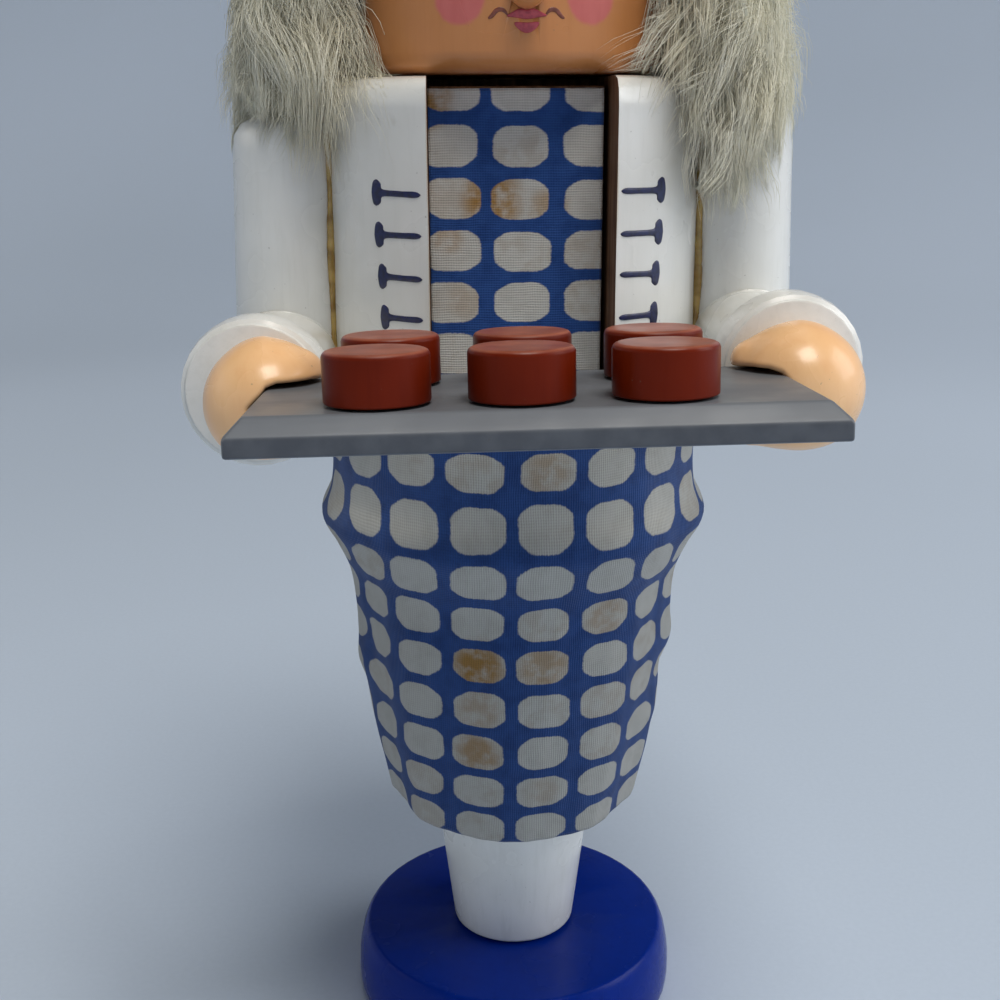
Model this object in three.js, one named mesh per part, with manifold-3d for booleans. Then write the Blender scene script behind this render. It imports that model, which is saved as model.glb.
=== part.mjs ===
// A painted wooden nutcracker figure of a baker who carries a tray of cakes.
// Millimetres, Z up. The figure faces -Y, and Z = 0 is the underside of its base.
// Left and right are the viewer's, so left is -X.

import * as THREE from 'three';
import { mergeVertices } from 'three/addons/utils/BufferGeometryUtils.js';
import Module from 'manifold-3d';

const wasm = await Module();
wasm.setup();

// Clearances
const fit = 0.3; // between two pieces that are glued or seated
const jawSideFit = 0.5; // each side of the lever in its slot
const pinFit = 0.15; // round the pivot pin
const dowelEndFit = 0.5; // past each end of a dowel

// Base and leg
const baseRadius = 27.9;
const baseHeight = 12.7;
const baseRimHeight = 4;
const baseTopRadius = 25.7;
const baseFootInset = 1.4; // of the underside, within the rim
const baseFootRise = 0.3;
const legFootRadius = 10.6;
const legTopRadius = 19.7;
const legHeight = 76.2;
const legEdge = 0.8;

// Torso
const torsoRadius = 28.7;
const torsoHeight = 67.1;
const torsoTopEdge = 4.2;
const torsoBottomEdge = 1;
const slotFloorThickness = 7.5;
const slotBackY = 12;
const slotShift = 0.2; // of the slot's middle, towards +X
const tailSlotHeight = 33;

// Lever: the jaw block in front, the arm through the back slot and the tail behind
const leverWidth = 24.8;
const leverFrontY = -14.3;
const leverBackY = 9.5;
const leverUnderGap = 8;
const leverArmThickness = 16;
const mouthGap = 1.6;
const jawEdge = 0.3;
const tailGap = 1.8;
const tailThickness = 7.6;
const tailDrop = 33;
const tailTipWidth = 15;
const tailBend = 11;
const innerBend = 4;
const pivotY = 6;
const pivotHeight = 15; // above the slot's floor
const pinRadius = 1.6;
const pinInset = 0.4; // from the torso's side to each end of the pin

// Dowels that hold the stack together
const baseDowelRadius = 4;
const baseDowelInBase = 8;
const baseDowelInLeg = 16;
const hipDowelRadius = 5;
const hipDowelInLeg = 14;
const hipDowelInTorso = 4.5;
const neckDowelRadius = 3.2;
const neckDowelY = 19.5;
const neckDowelInTorso = 10;
const neckDowelInHead = 10;
const armDowelRadius = 2.4;
const armDowelInTorso = 9;
const armDowelInArm = 6;
const armDowelHeight = 21; // above the elbow

// Head
const headRadius = 22.5;
const headHeight = 42;
const headBottomEdge = 3;
const headTopEdge = 2;
const noseRadius = 2.6;
const noseHeight = 10.6; // above the underside of the head
const noseProud = 1.2; // how far its centre stands out of the face
const nosePegRadius = 1.3;
const nosePegLength = 6;
const faceTurn = THREE.MathUtils.degToRad(2.2); // of the nose, towards +X

// Cap
const capBandRadius = 19.6;
const capBandHeight = 11;
const capBandEdge = 0.6;
const capPuffRadius = 25.2;
const capPuffHeight = 23;
const capPuffWidest = 0.4; // of the puff's height
const capCrownShare = 0.45; // of the puff's radius
const capDimpleShare = 0.2;
const capDimpleDepth = 0.6;
const capTenonRadius = 5;
const capTenonLength = 7;

// Arms
const armX = 34.8; // of the elbow's middle
const armY = -5;
const armRadius = 8;
const shoulderDrop = 4.05; // from the torso's top to the shoulder's, before the shift
const shoulderHeight = 35.7; // above the elbow
const shoulderEdge = 5;
const armShift = 1.25; // the right arm sits this much higher, the left this much lower
const armLean = THREE.MathUtils.degToRad(2.1); // of the upper arm, inwards
const armSplay = THREE.MathUtils.degToRad(3.1); // of the forearm, outwards
const cuffRadius = 10.3;
const cuffFrontY = -33.9;
const cuffLength = 5.4;
const cuffFlare = 2; // from the straight of the forearm to the cuff
const cuffEdge = 1;
const cuffRim = 2;
const cuffHollowRadius = 8.1;
const cuffHollowDepth = 2.6;

// Hands
const handRadius = 8.2;
const handForward = 7.1; // of the cuff's front, to the middle of the hand
const handDrop = 1.85; // of its middle, below the top of the tray
const handShift = 1.45; // of both hands towards +X, from the elbows' middles
const handTenonRadius = 3.6;
const handTenonLength = 6;
const thumbLength = 7.3; // past the end of the tray
const thumbRadius = 3.1;
const thumbTipRadius = 1.3;
const thumbRise = 2.2; // of its middle line, over the tray
const thumbBack = 1.3; // of its back, in front of the tray's back edge
const thumbFlat = 1.2; // from its middle line to its sawn front
const thumbTurn = THREE.MathUtils.degToRad(3);
const fingersRadius = 4.4;
const fingersTipRadius = 2.6;
const digitRootInset = 2.7; // of a digit's thick end, from the middle of the hand

// Tray and cakes
const trayEndInset = 0.15; // of each end, from the middle of the elbow
const trayDepth = 35.3;
const trayThickness = 4.4;
const trayBevel = 2.1;
const trayX = -0.4;
const trayLift = 1.9; // its top above the middle of the elbows, at the back edge
const trayPitch = THREE.MathUtils.degToRad(3.6);
const trayRoll = THREE.MathUtils.degToRad(0.89);
const trayBehindGap = 1; // from the middle of the cuffs' fronts
const cakeRadius = 6.2;
const cakeHeight = 6;
const cakeEdge = 0.7;
const cakePitch = 16.5;
const cakeFrontMargin = 8.3; // from the tray's front edge to the first row's middle
const cakeColumns = 3;
const cakeRows = 2;
const cakeRowShift = [-1.5, -0.5]; // each row stands this far off the middle, front row first

// Cloth
const clothThickness = 0.5;
const bibMargin = 0.1; // each side, on the jaw block's front
const apronOverlap = 17.5; // up the torso from its underside
const apronHalfTurn = THREE.MathUtils.degToRad(124);
const apronDrop = 50.7; // of the hem, below the torso
const apronHemRadius = 20.6;
const apronHemRise = 3.2; // of the hem's back, over its front
const apronWaistRadius = 26.5;
const apronWaistDrop = 9.5; // below the torso
const apronBulge = 0.6; // how early it widens on the way up from the hem
const apronTuckDrop = 4; // below the torso, where it is drawn in under the edge
const apronTuckInset = 0.4;
const apronFlare = 1.8; // how far it stands off the torso's lower edge
const apronSeatHeight = 5.5; // up the torso, where it lies against the side
const apronFold = 0.55;
const apronFoldCount = 9;
const apronFoldFrontShare = 0.25; // of the folds' depth that is left at the front
const apronFoldLean = 0.02; // turn of the folds for each millimetre down
const apronFoldStart = 1; // above the torso's underside
const apronFoldFull = 12; // below the torso's underside

// Hair
const hairThickness = 18.5; // at the widest, just over the shoulders
const hairDepthShare = 0.86; // front to back, of its width
const hairSetback = 2.5;
const hairTopThickness = 5;
const hairTopGap = 1.5; // under the cap
const hairFall = 21; // of the front locks, below the head
const hairWidestDrop = 4; // below the head
const hairTipShare = 0.85; // of its widest radius, close to the tips
const hairTipRise = 3;
const hairSwellDown = 9; // how far the full width carries on downwards
const hairSwellUp = 16; // and upwards
const hairCrownSwell = 8;
const hairCrownDrop = 10;
const hairTailGap = 7; // over the tail slot
const hairLeftFrontAngle = THREE.MathUtils.degToRad(72);
const hairRightFrontAngle = THREE.MathUtils.degToRad(58);
const hairBackAngle = THREE.MathUtils.degToRad(142);

// Heights of the stack, from the floor up
const legZ = baseHeight + fit;
const torsoZ = legZ + legHeight + fit;
const slotFloorZ = torsoZ + slotFloorThickness;
const torsoTopZ = torsoZ + torsoHeight;
const headZ = torsoTopZ + fit;
const headTopZ = headZ + headHeight;
const capZ = headTopZ + fit;
const pivotZ = slotFloorZ + pivotHeight;
const elbowHeight = torsoHeight - shoulderDrop - shoulderHeight; // above the torso's underside
const elbowZ = torsoZ + elbowHeight;
const handY = cuffFrontY - handForward;
const trayBackY = cuffFrontY - trayBehindGap;
const trayZ = elbowZ + trayLift;
const trayWidth = 2 * (armX - trayEndInset);
const slotLeftX = slotShift - leverWidth / 2 - jawSideFit;
const slotRightX = slotShift + leverWidth / 2 + jawSideFit;
const apronHemZ = torsoZ - apronDrop;
const armLength = armY - cuffFrontY; // from the elbow's middle to the cuff's front

const roundSteps = 52;
const smallSteps = 16;
const edgeSteps = 3;

// Lacquers, cloth, fur and bare wood
const finish = (color, roughness, metalness = 0) =>
  new THREE.MeshStandardMaterial({ color, roughness, metalness });
const whiteLacquer = finish(0xe6e7ea, 0.25);
const blueLacquer = finish(0x17246e, 0.18);
const skinLacquer = finish(0xe3b488, 0.25);
const trayLacquer = finish(0x85898c, 0.35);
const cakeLacquer = finish(0x6e2412, 0.3);
const printedCloth = finish(0x4a6eb4, 0.95);
const greyFur = finish(0xaeaca3, 0.9);
const bareWood = finish(0xc9a67a, 0.7);
const darkWood = finish(0x8a6a4c, 0.75);
const steel = finish(0x9a9da0, 0.4, 1);

// A geometry as a solid that can be cut and joined.
function solidOf(geometry) {
  const bare = geometry.clone();
  bare.deleteAttribute('normal');
  bare.deleteAttribute('uv');
  const merged = mergeVertices(bare, 1e-4);
  const corners = merged.index.array;
  const kept = [];
  for (let i = 0; i < corners.length; i += 3) {
    const [a, b, c] = [corners[i], corners[i + 1], corners[i + 2]];
    if (a !== b && b !== c && c !== a) kept.push(a, b, c);
  }
  const vertProperties = new Float32Array(merged.attributes.position.array);
  const triVerts = new Uint32Array(kept);
  return new wasm.Manifold(new wasm.Mesh({ numProp: 3, vertProperties, triVerts }));
}

// The solid's surface as a geometry again.
function geometryOf(solid) {
  const { vertProperties, triVerts } = solid.getMesh();
  const geometry = new THREE.BufferGeometry();
  geometry.setAttribute('position', new THREE.BufferAttribute(vertProperties, 3));
  geometry.setIndex(new THREE.BufferAttribute(triVerts, 1));
  geometry.computeVertexNormals();
  return geometry;
}

function cut(geometry, ...tools) {
  return geometryOf(tools.reduce((rest, tool) => rest.subtract(solidOf(tool)), solidOf(geometry)));
}

function join(geometry, ...others) {
  return geometryOf(others.reduce((sum, other) => sum.add(solidOf(other)), solidOf(geometry)));
}

function common(geometry, other) {
  return geometryOf(solidOf(geometry).intersect(solidOf(other)));
}

// A piece turned on the lathe about Z, from a path of radius and height.
function turned(path, steps = roundSteps, curveSteps = edgeSteps) {
  return new THREE.LatheGeometry(path.getPoints(curveSteps), steps).rotateX(Math.PI / 2);
}

// A plain turned cylinder from one height to another, with its two edges rounded.
function turnedBar(radius, fromZ, toZ, edges = [0, 0], steps = roundSteps, curveSteps = edgeSteps) {
  const [low, high] = edges;
  const path = new THREE.Path().moveTo(0, fromZ).lineTo(radius - low, fromZ);
  if (low > 0) path.quadraticCurveTo(radius, fromZ, radius, fromZ + low);
  path.lineTo(radius, toZ - high);
  if (high > 0) path.quadraticCurveTo(radius, toZ, radius - high, toZ);
  return turned(path.lineTo(0, toZ), steps, curveSteps);
}

// A drilled hole or a dowel along Z.
function rod(radius, fromZ, toZ, steps = smallSteps) {
  return turnedBar(radius, fromZ, toZ, [0, 0], steps);
}

function block(fromX, toX, fromY, toY, fromZ, toZ) {
  const box = new THREE.BoxGeometry(toX - fromX, toY - fromY, toZ - fromZ);
  return box.translate((fromX + toX) / 2, (fromY + toY) / 2, (fromZ + toZ) / 2);
}

// An outline in the YZ plane, drawn as (y, z), given a width across X.
function sideExtrusion(shape, width) {
  const options = { depth: width, bevelEnabled: false, curveSegments: 5 };
  const geometry = new THREE.ExtrudeGeometry(shape, options);
  geometry.translate(0, 0, -width / 2);
  geometry.rotateX(Math.PI / 2);
  return geometry.rotateZ(Math.PI / 2);
}

function piece(name, geometry, material, parent) {
  const mesh = new THREE.Mesh(geometry, material);
  mesh.name = name;
  parent.add(mesh);
  return mesh;
}

// Base: a turned disc with a soft upper edge and a socket for the leg's dowel.
function baseDisc() {
  const path = new THREE.Path().moveTo(0, 0).lineTo(baseRadius - baseFootInset, 0);
  path.quadraticCurveTo(baseRadius, baseFootRise, baseRadius, baseRimHeight);
  const riseX = baseRadius - baseTopRadius;
  const riseZ = baseHeight - baseRimHeight;
  path.absellipse(baseTopRadius, baseRimHeight, riseX, riseZ, 0, Math.PI / 2);
  path.lineTo(0, baseHeight);
  const socketZ = baseHeight - baseDowelInBase - dowelEndFit;
  return cut(turned(path), rod(baseDowelRadius + fit, socketZ, baseHeight + 1));
}

// Leg: one slender cone that widens to the hips, bored at both ends.
function legPost() {
  const path = new THREE.Path().moveTo(0, 0).lineTo(legFootRadius - legEdge, 0);
  path.quadraticCurveTo(legFootRadius, 0, legFootRadius, legEdge);
  path.lineTo(legTopRadius, legHeight - legEdge);
  path.quadraticCurveTo(legTopRadius, legHeight, legTopRadius - legEdge, legHeight);
  path.lineTo(0, legHeight);
  const footBore = rod(baseDowelRadius + fit, -1, baseDowelInLeg + dowelEndFit);
  const hipBoreZ = legHeight - hipDowelInLeg - dowelEndFit;
  return cut(turned(path), footBore, rod(hipDowelRadius + fit, hipBoreZ, legHeight + 1));
}

// A dowel with its ends eased, from below a joint to above it.
function dowel(radius, below, above) {
  return turnedBar(radius, -below, above, [radius / 5, radius / 5], smallSteps, 1);
}

// Torso: a turned barrel with the jaw slot sawn into its front and top, the tail slot at the back,
// a bore for the pivot pin and sockets for the dowels. Its own Z starts at its underside.
function torso() {
  const barrel = turnedBar(torsoRadius, 0, torsoHeight, [torsoBottomEdge, torsoTopEdge]);
  const reach = torsoRadius + 1;
  const floor = slotFloorThickness;
  const jawSlot = block(slotLeftX, slotRightX, -reach, slotBackY, floor, torsoHeight + 1);
  const tailSlot = block(slotLeftX, slotRightX, 0, reach, floor, floor + tailSlotHeight);
  const pinBore = rod(pinRadius + fit / 2, -reach, reach);
  pinBore.rotateY(Math.PI / 2).translate(0, pivotY, pivotZ - torsoZ);
  const hipBore = rod(hipDowelRadius + fit, -1, hipDowelInTorso + dowelEndFit);
  const neckBoreZ = torsoHeight - neckDowelInTorso - dowelEndFit;
  const neckBore = rod(neckDowelRadius + fit, neckBoreZ, torsoHeight + 1);
  neckBore.translate(0, neckDowelY, 0);
  const shoulderBores = [-1, 1].map((side) => {
    const bore = rod(armDowelRadius + fit, torsoRadius - armDowelInTorso - dowelEndFit, reach);
    bore.rotateY((side * Math.PI) / 2);
    return bore.translate(0, armY, elbowHeight + armDowelHeight + side * armShift);
  });
  return cut(barrel, jawSlot, tailSlot, pinBore, hipBore, neckBore, ...shoulderBores);
}

// Lever: sawn from one board to a side profile, then shaped to a tapering tail with a round end.
function lever() {
  const top = headZ - mouthGap - pivotZ;
  const front = leverFrontY - pivotY;
  const back = leverBackY - pivotY;
  const under = slotFloorZ + leverUnderGap - pivotZ;
  const armTop = under + leverArmThickness;
  const tailIn = torsoRadius + tailGap - pivotY;
  const tailOut = tailIn + tailThickness;
  const tip = tailThickness / 2;
  const tipZ = under - tailDrop + tip;
  const side = new THREE.Shape().moveTo(front, under).lineTo(front, top - jawEdge);
  side.quadraticCurveTo(front, top, front + jawEdge, top);
  side.lineTo(back, top).lineTo(back, armTop + innerBend);
  side.quadraticCurveTo(back, armTop, back + innerBend, armTop);
  side.lineTo(tailOut - tailBend, armTop);
  side.quadraticCurveTo(tailOut, armTop, tailOut, armTop - tailBend);
  side.lineTo(tailOut, tipZ);
  side.absarc(tailIn + tip, tipZ, tip, 0, -Math.PI, true);
  side.lineTo(tailIn, under - innerBend);
  side.quadraticCurveTo(tailIn, under, tailIn - innerBend, under);
  const board = sideExtrusion(side, leverWidth);

  const half = leverWidth / 2;
  const tipHalf = tailTipWidth / 2;
  const endZ = under - tailDrop;
  const rear = new THREE.Shape().moveTo(-half, top + 1).lineTo(-half, under);
  rear.lineTo(-tipHalf, endZ + tipHalf);
  rear.absarc(0, endZ + tipHalf, tipHalf, Math.PI, 2 * Math.PI);
  rear.lineTo(half, under).lineTo(half, top + 1);
  const outlineDepth = tailOut - front + 2;
  const outline = new THREE.ExtrudeGeometry(rear, {
    depth: outlineDepth,
    bevelEnabled: false,
    curveSegments: 10,
  });
  outline.rotateX(Math.PI / 2).translate(0, tailOut + 1, 0);
  const bore = rod(pinRadius + pinFit, -leverWidth, leverWidth);
  return cut(common(board, outline), bore.rotateY(Math.PI / 2));
}

// The pivot pin stops short of the torso's sides at the height and depth of the pivot.
function leverPin() {
  const half = Math.sqrt(torsoRadius ** 2 - pivotY ** 2) - pinInset;
  return rod(pinRadius, -half, half).rotateY(Math.PI / 2);
}

// Bib: printed cloth glued to the front of the jaw block.
function bibCloth() {
  const half = leverWidth / 2 - bibMargin;
  const front = leverFrontY - fit - clothThickness;
  const low = slotFloorZ + leverUnderGap + bibMargin;
  const high = headZ - mouthGap - jawEdge;
  return block(-half, half, front, leverFrontY - fit, low, high).translate(0, -pivotY, -pivotZ);
}

// The space that the torso takes up beside an arm.
function torsoSeat() {
  return rod(torsoRadius + fit, -2 * armRadius, shoulderHeight + 1, roundSteps);
}

// The half space on one side of the 45 degree elbow mitre, as a large block.
function mitreHalf(above) {
  const size = 4 * shoulderHeight;
  const half = new THREE.BoxGeometry(size, size, size);
  half.translate(0, 0, above * (size / 2 + fit / 2));
  return half.rotateX(-Math.PI / 4);
}

// From an elbow at the origin, with its upper arm along Z and its forearm along -Y, to its place.
function onElbow(geometry, side) {
  geometry.rotateZ(side * armSplay).rotateY(-side * armLean);
  return geometry.translate(side * armX, armY, 0);
}

// Upper arm: a turned bar with a domed shoulder, mitred at the elbow and hollowed to sit on the
// torso. Its own Z starts at the elbow, where the two bars' middle lines meet.
function upperArm(side) {
  const path = new THREE.Path().moveTo(0, -armRadius - 1).lineTo(armRadius, -armRadius - 1);
  path.lineTo(armRadius, shoulderHeight - shoulderEdge);
  path.quadraticCurveTo(armRadius, shoulderHeight, armRadius - shoulderEdge, shoulderHeight);
  path.lineTo(0, shoulderHeight);
  const bar = onElbow(common(turned(path, 30, 4), mitreHalf(1)), side);
  const bore = rod(armDowelRadius + fit, 0, torsoRadius + armDowelInArm + dowelEndFit);
  bore.rotateY((side * Math.PI) / 2).translate(0, armY, armDowelHeight);
  return cut(bar, torsoSeat(), bore);
}

// Forearm and cuff: one turned piece, mitred at the elbow, with a flared and hollowed cuff.
function forearm(side) {
  const cuffZ = armLength - cuffLength;
  const floorZ = armLength - cuffHollowDepth;
  const path = new THREE.Path().moveTo(0, -armRadius - 1).lineTo(armRadius, -armRadius - 1);
  path.lineTo(armRadius, cuffZ - cuffFlare);
  path.quadraticCurveTo(armRadius, cuffZ, cuffRadius - cuffEdge, cuffZ);
  path.quadraticCurveTo(cuffRadius, cuffZ, cuffRadius, cuffZ + cuffEdge);
  path.lineTo(cuffRadius, armLength - cuffRim);
  path.quadraticCurveTo(cuffRadius, armLength, cuffRadius - cuffRim / 2, armLength);
  path.quadraticCurveTo(cuffHollowRadius, armLength, cuffHollowRadius, floorZ);
  path.lineTo(handTenonRadius + fit, floorZ);
  path.lineTo(handTenonRadius + fit, floorZ - handTenonLength);
  path.lineTo(0, floorZ - handTenonLength);
  const bar = common(turned(path, 30, 2).rotateX(Math.PI / 2), mitreHalf(-1));
  return cut(onElbow(bar, side), torsoSeat());
}

// A rounded, tapering digit that grips the tray, from the hand inwards.
function digit(side, radius, tipRadius, rootX, tipX) {
  const reach = Math.abs(rootX - tipX);
  const path = new THREE.Path().moveTo(0, -radius);
  path.quadraticCurveTo(radius, -radius, radius, 0);
  path.lineTo(tipRadius, reach - tipRadius);
  path.quadraticCurveTo(tipRadius, reach, 0, reach);
  return turned(path, 16).rotateY((-side * Math.PI) / 2);
}

// From the middle of the tray's back edge, at the level of its top, to its place.
function carriedPlace(geometry) {
  return geometry.rotateY(-trayRoll).translate(trayX, trayBackY, trayZ);
}

// Hand: a turned ball with a tenon into the cuff, a thumb that lies over the tray and fingers under
// it. The tray's end sits in a sawn notch, and the ball is cut away over the tray in front of the
// thumb. All but the tenon is drawn round the middle of the tray's back edge.
function hand(side) {
  const x = side * armX + handShift;
  const y = handY - trayBackY;
  const rootX = x - side * digitRootInset;
  const tipX = side * (trayWidth / 2 - thumbLength) - trayX;
  const ball = new THREE.SphereGeometry(handRadius, 24, 14);
  ball.rotateX(Math.PI / 2).translate(x, y, -handDrop);
  const thumbY = -thumbBack - thumbRadius;
  const thumb = digit(side, thumbRadius, thumbTipRadius, rootX, tipX);
  thumb.rotateZ(side * thumbTurn).translate(rootX, thumbY, thumbRise);
  const fingers = digit(side, fingersRadius, fingersTipRadius, rootX, tipX);
  fingers.translate(rootX, y, fingersRadius - handDrop - handRadius);
  const tenonEnd = armLength - cuffHollowDepth - handTenonLength + 2 * fit;
  const tenon = rod(handTenonRadius, tenonEnd, armY - handY).rotateX(Math.PI / 2);
  onElbow(tenon, side).translate(0, 0, elbowZ + side * armShift);

  const end = trayWidth / 2 + fit;
  const deep = trayDepth + 2 * handRadius;
  const notch = block(-end, end, -deep, fit, -trayThickness - fit, fit);
  const clearing = block(-end, end, -deep, thumbY - thumbFlat, -1, 2 * handRadius);
  const tools = [notch, clearing].map((tool) => carriedPlace(tool.rotateX(-trayPitch)));
  return cut(join(tenon, ...[ball, thumb, fingers].map(carriedPlace)), ...tools);
}

// Tray: a board with a bevel round its upper edge. Its own origin is the middle of its back edge,
// at the level of its top.
function tray() {
  const half = trayWidth / 2;
  const outline = new THREE.Shape().moveTo(-half + trayBevel, -trayBevel);
  outline.lineTo(-half + trayBevel, -trayDepth + trayBevel);
  outline.lineTo(half - trayBevel, -trayDepth + trayBevel);
  outline.lineTo(half - trayBevel, -trayBevel);
  const slab = new THREE.ExtrudeGeometry(outline, {
    depth: trayThickness - trayBevel,
    bevelEnabled: true,
    bevelSegments: 1,
    bevelSize: trayBevel,
    bevelThickness: trayBevel,
  });
  slab.translate(0, 0, -trayThickness);
  const deep = 2 * trayDepth;
  const lowSide = block(-trayWidth, trayWidth, -deep, deep, -3 * trayThickness, -trayThickness);
  return cut(slab, lowSide);
}

// Cake: a short turned cylinder with eased edges.
function cake() {
  return turnedBar(cakeRadius, 0, cakeHeight, [0, cakeEdge], 30, 2);
}

// Head: a turned cylinder bored for the neck dowel, the nose's peg and the cap's tenon.
function head() {
  const bar = turnedBar(headRadius, 0, headHeight, [headBottomEdge, headTopEdge]);
  const neckBore = rod(neckDowelRadius + fit, -1, neckDowelInHead + dowelEndFit);
  neckBore.translate(0, neckDowelY, 0);
  const noseBore = rod(nosePegRadius + fit, headRadius - nosePegLength - dowelEndFit, headRadius + 1);
  noseBore.rotateX(Math.PI / 2).rotateZ(faceTurn).translate(0, 0, noseHeight);
  const capBore = rod(capTenonRadius + fit, headHeight - capTenonLength - dowelEndFit, headHeight + 1);
  return cut(bar, neckBore, noseBore, capBore);
}

// Nose: a turned bead with a peg, hollowed to sit on the face.
function nose() {
  const bead = new THREE.SphereGeometry(noseRadius, 18, 12);
  bead.translate(0, -headRadius - noseProud, 0);
  const beadOnFace = cut(bead, rod(headRadius + fit, -2 * noseRadius, 2 * noseRadius, roundSteps));
  const peg = rod(nosePegRadius, headRadius - nosePegLength, headRadius + noseProud);
  return join(beadOnFace, peg.rotateX(Math.PI / 2));
}

// Cap: a band and a puffed crown turned in one piece, with a tenon into the head.
function cap() {
  const path = new THREE.Path().moveTo(0, -capTenonLength).lineTo(capTenonRadius, -capTenonLength);
  path.lineTo(capTenonRadius, 0).lineTo(capBandRadius - capBandEdge, 0);
  path.quadraticCurveTo(capBandRadius, 0, capBandRadius, capBandEdge);
  path.lineTo(capBandRadius, capBandHeight);
  const widestZ = capBandHeight + capPuffHeight * capPuffWidest;
  path.quadraticCurveTo(capPuffRadius, capBandHeight, capPuffRadius, widestZ);
  const top = capBandHeight + capPuffHeight;
  path.quadraticCurveTo(capPuffRadius, top, capPuffRadius * capCrownShare, top);
  path.quadraticCurveTo(capPuffRadius * capDimpleShare, top, 0, top - capDimpleDepth);
  return turned(path, 40, 4);
}

// The apron's outline from its hem up, as points with the radius in X.
function apronOutline() {
  const wrapRadius = torsoRadius + fit + clothThickness;
  const waistZ = torsoZ - apronWaistDrop;
  const points = [];
  for (const share of [0, 0.25, 0.5, 0.75, 1]) {
    const widening = share * (1 + apronBulge * (1 - share));
    const radius = THREE.MathUtils.lerp(apronHemRadius, apronWaistRadius, widening);
    points.push(new THREE.Vector3(radius, 0, THREE.MathUtils.lerp(apronHemZ, waistZ, share)));
  }
  points.push(new THREE.Vector3(wrapRadius - apronTuckInset, 0, torsoZ - apronTuckDrop));
  points.push(new THREE.Vector3(wrapRadius + apronFlare, 0, torsoZ + torsoBottomEdge / 2));
  points.push(new THREE.Vector3(wrapRadius, 0, torsoZ + apronSeatHeight));
  points.push(new THREE.Vector3(wrapRadius, 0, torsoZ + apronOverlap));
  return new THREE.CatmullRomCurve3(points, false, 'centripetal');
}

// Apron: cloth glued round the torso's lower edge. It stands off that edge in a soft flare, is drawn
// in under it, and falls in shallow folds to a narrower hem. It is open at the back for the tail.
function apronRadius(curve, turn, z) {
  let low = 0;
  let high = 1;
  for (let i = 0; i < 30; i++) {
    const middle = (low + high) / 2;
    if (curve.getPoint(middle).z < z) low = middle;
    else high = middle;
  }
  const drop = torsoZ - z;
  const free = THREE.MathUtils.smoothstep(drop, -apronFoldStart, apronFoldFull);
  const side = THREE.MathUtils.lerp(apronFoldFrontShare, 1, Math.sin(turn) ** 2);
  const fold = Math.cos(apronFoldCount * turn + drop * apronFoldLean);
  return curve.getPoint(low).x + apronFold * free * side * fold;
}

function apronSkirt() {
  const columns = 46;
  const rows = 12;
  const topZ = torsoZ + apronOverlap;
  const curve = apronOutline();
  const corners = [];
  for (const inset of [0, clothThickness]) {
    for (let row = 0; row <= rows; row++) {
      for (let column = 0; column <= columns; column++) {
        const turn = apronHalfTurn * ((2 * column) / columns - 1);
        const rise = (apronHemRise * (1 - Math.cos(turn))) / 2;
        const z = THREE.MathUtils.lerp(apronHemZ + rise, topZ, row / rows);
        const radius = apronRadius(curve, turn, z) - inset;
        corners.push(radius * Math.sin(turn), -radius * Math.cos(turn), z);
      }
    }
  }
  const wide = columns + 1;
  const layer = wide * (rows + 1);
  const faces = [];
  const quad = (a, b, c, d) => faces.push(a, b, c, a, c, d);
  for (let row = 0; row < rows; row++) {
    for (let column = 0; column < columns; column++) {
      const a = row * wide + column;
      quad(a, a + 1, a + 1 + wide, a + wide);
      quad(layer + a, layer + a + wide, layer + a + 1 + wide, layer + a + 1);
    }
  }
  for (let column = 0; column < columns; column++) {
    const top = rows * wide + column;
    quad(column, column + layer, column + 1 + layer, column + 1);
    quad(top, top + 1, top + 1 + layer, top + layer);
  }
  for (let row = 0; row < rows; row++) {
    const first = row * wide;
    const last = first + columns;
    quad(first, first + wide, first + wide + layer, first + layer);
    quad(last, last + layer, last + wide + layer, last + wide);
  }
  const geometry = new THREE.BufferGeometry();
  geometry.setAttribute('position', new THREE.Float32BufferAttribute(corners, 3));
  geometry.setIndex(faces);
  geometry.computeVertexNormals();
  return geometry;
}

// Hair: one wig of long fur glued round the head, widest over the shoulders. It is three locks, each
// a share of one mass, which stay clear of the shoulders, the torso and the lever.
function hairMass() {
  const high = headTopZ - hairTopGap;
  const low = headZ - hairFall;
  const wide = headRadius + hairThickness;
  const widestZ = headZ - hairWidestDrop;
  const path = new THREE.Path().moveTo(0, low).lineTo(headRadius, low);
  const tipZ = low + hairTipRise;
  path.bezierCurveTo(wide * hairTipShare, tipZ, wide, widestZ - hairSwellDown, wide, widestZ);
  const topRadius = headRadius + hairTopThickness;
  const swellZ = widestZ + hairSwellUp;
  const crownX = topRadius + hairCrownSwell;
  path.bezierCurveTo(wide, swellZ, crownX, high - hairCrownDrop, topRadius, high);
  path.lineTo(0, high);
  return turned(path, 40, 6).scale(1, hairDepthShare, 1).translate(0, hairSetback, 0);
}

// A tall wedge of the turn round the head, between two angles measured from the front.
function wedge(fromAngle, toAngle, side) {
  const far = 4 * headRadius;
  const outline = new THREE.Shape().moveTo(0, 0);
  const steps = 4;
  for (let i = 0; i <= steps; i++) {
    const angle = THREE.MathUtils.lerp(fromAngle, toAngle, i / steps);
    outline.lineTo(side * far * Math.sin(angle), -far * Math.cos(angle));
  }
  const tall = 4 * headHeight;
  const solid = new THREE.ExtrudeGeometry(outline, { depth: tall, bevelEnabled: false });
  return solid.translate(0, 0, headZ - tall / 2);
}

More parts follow.
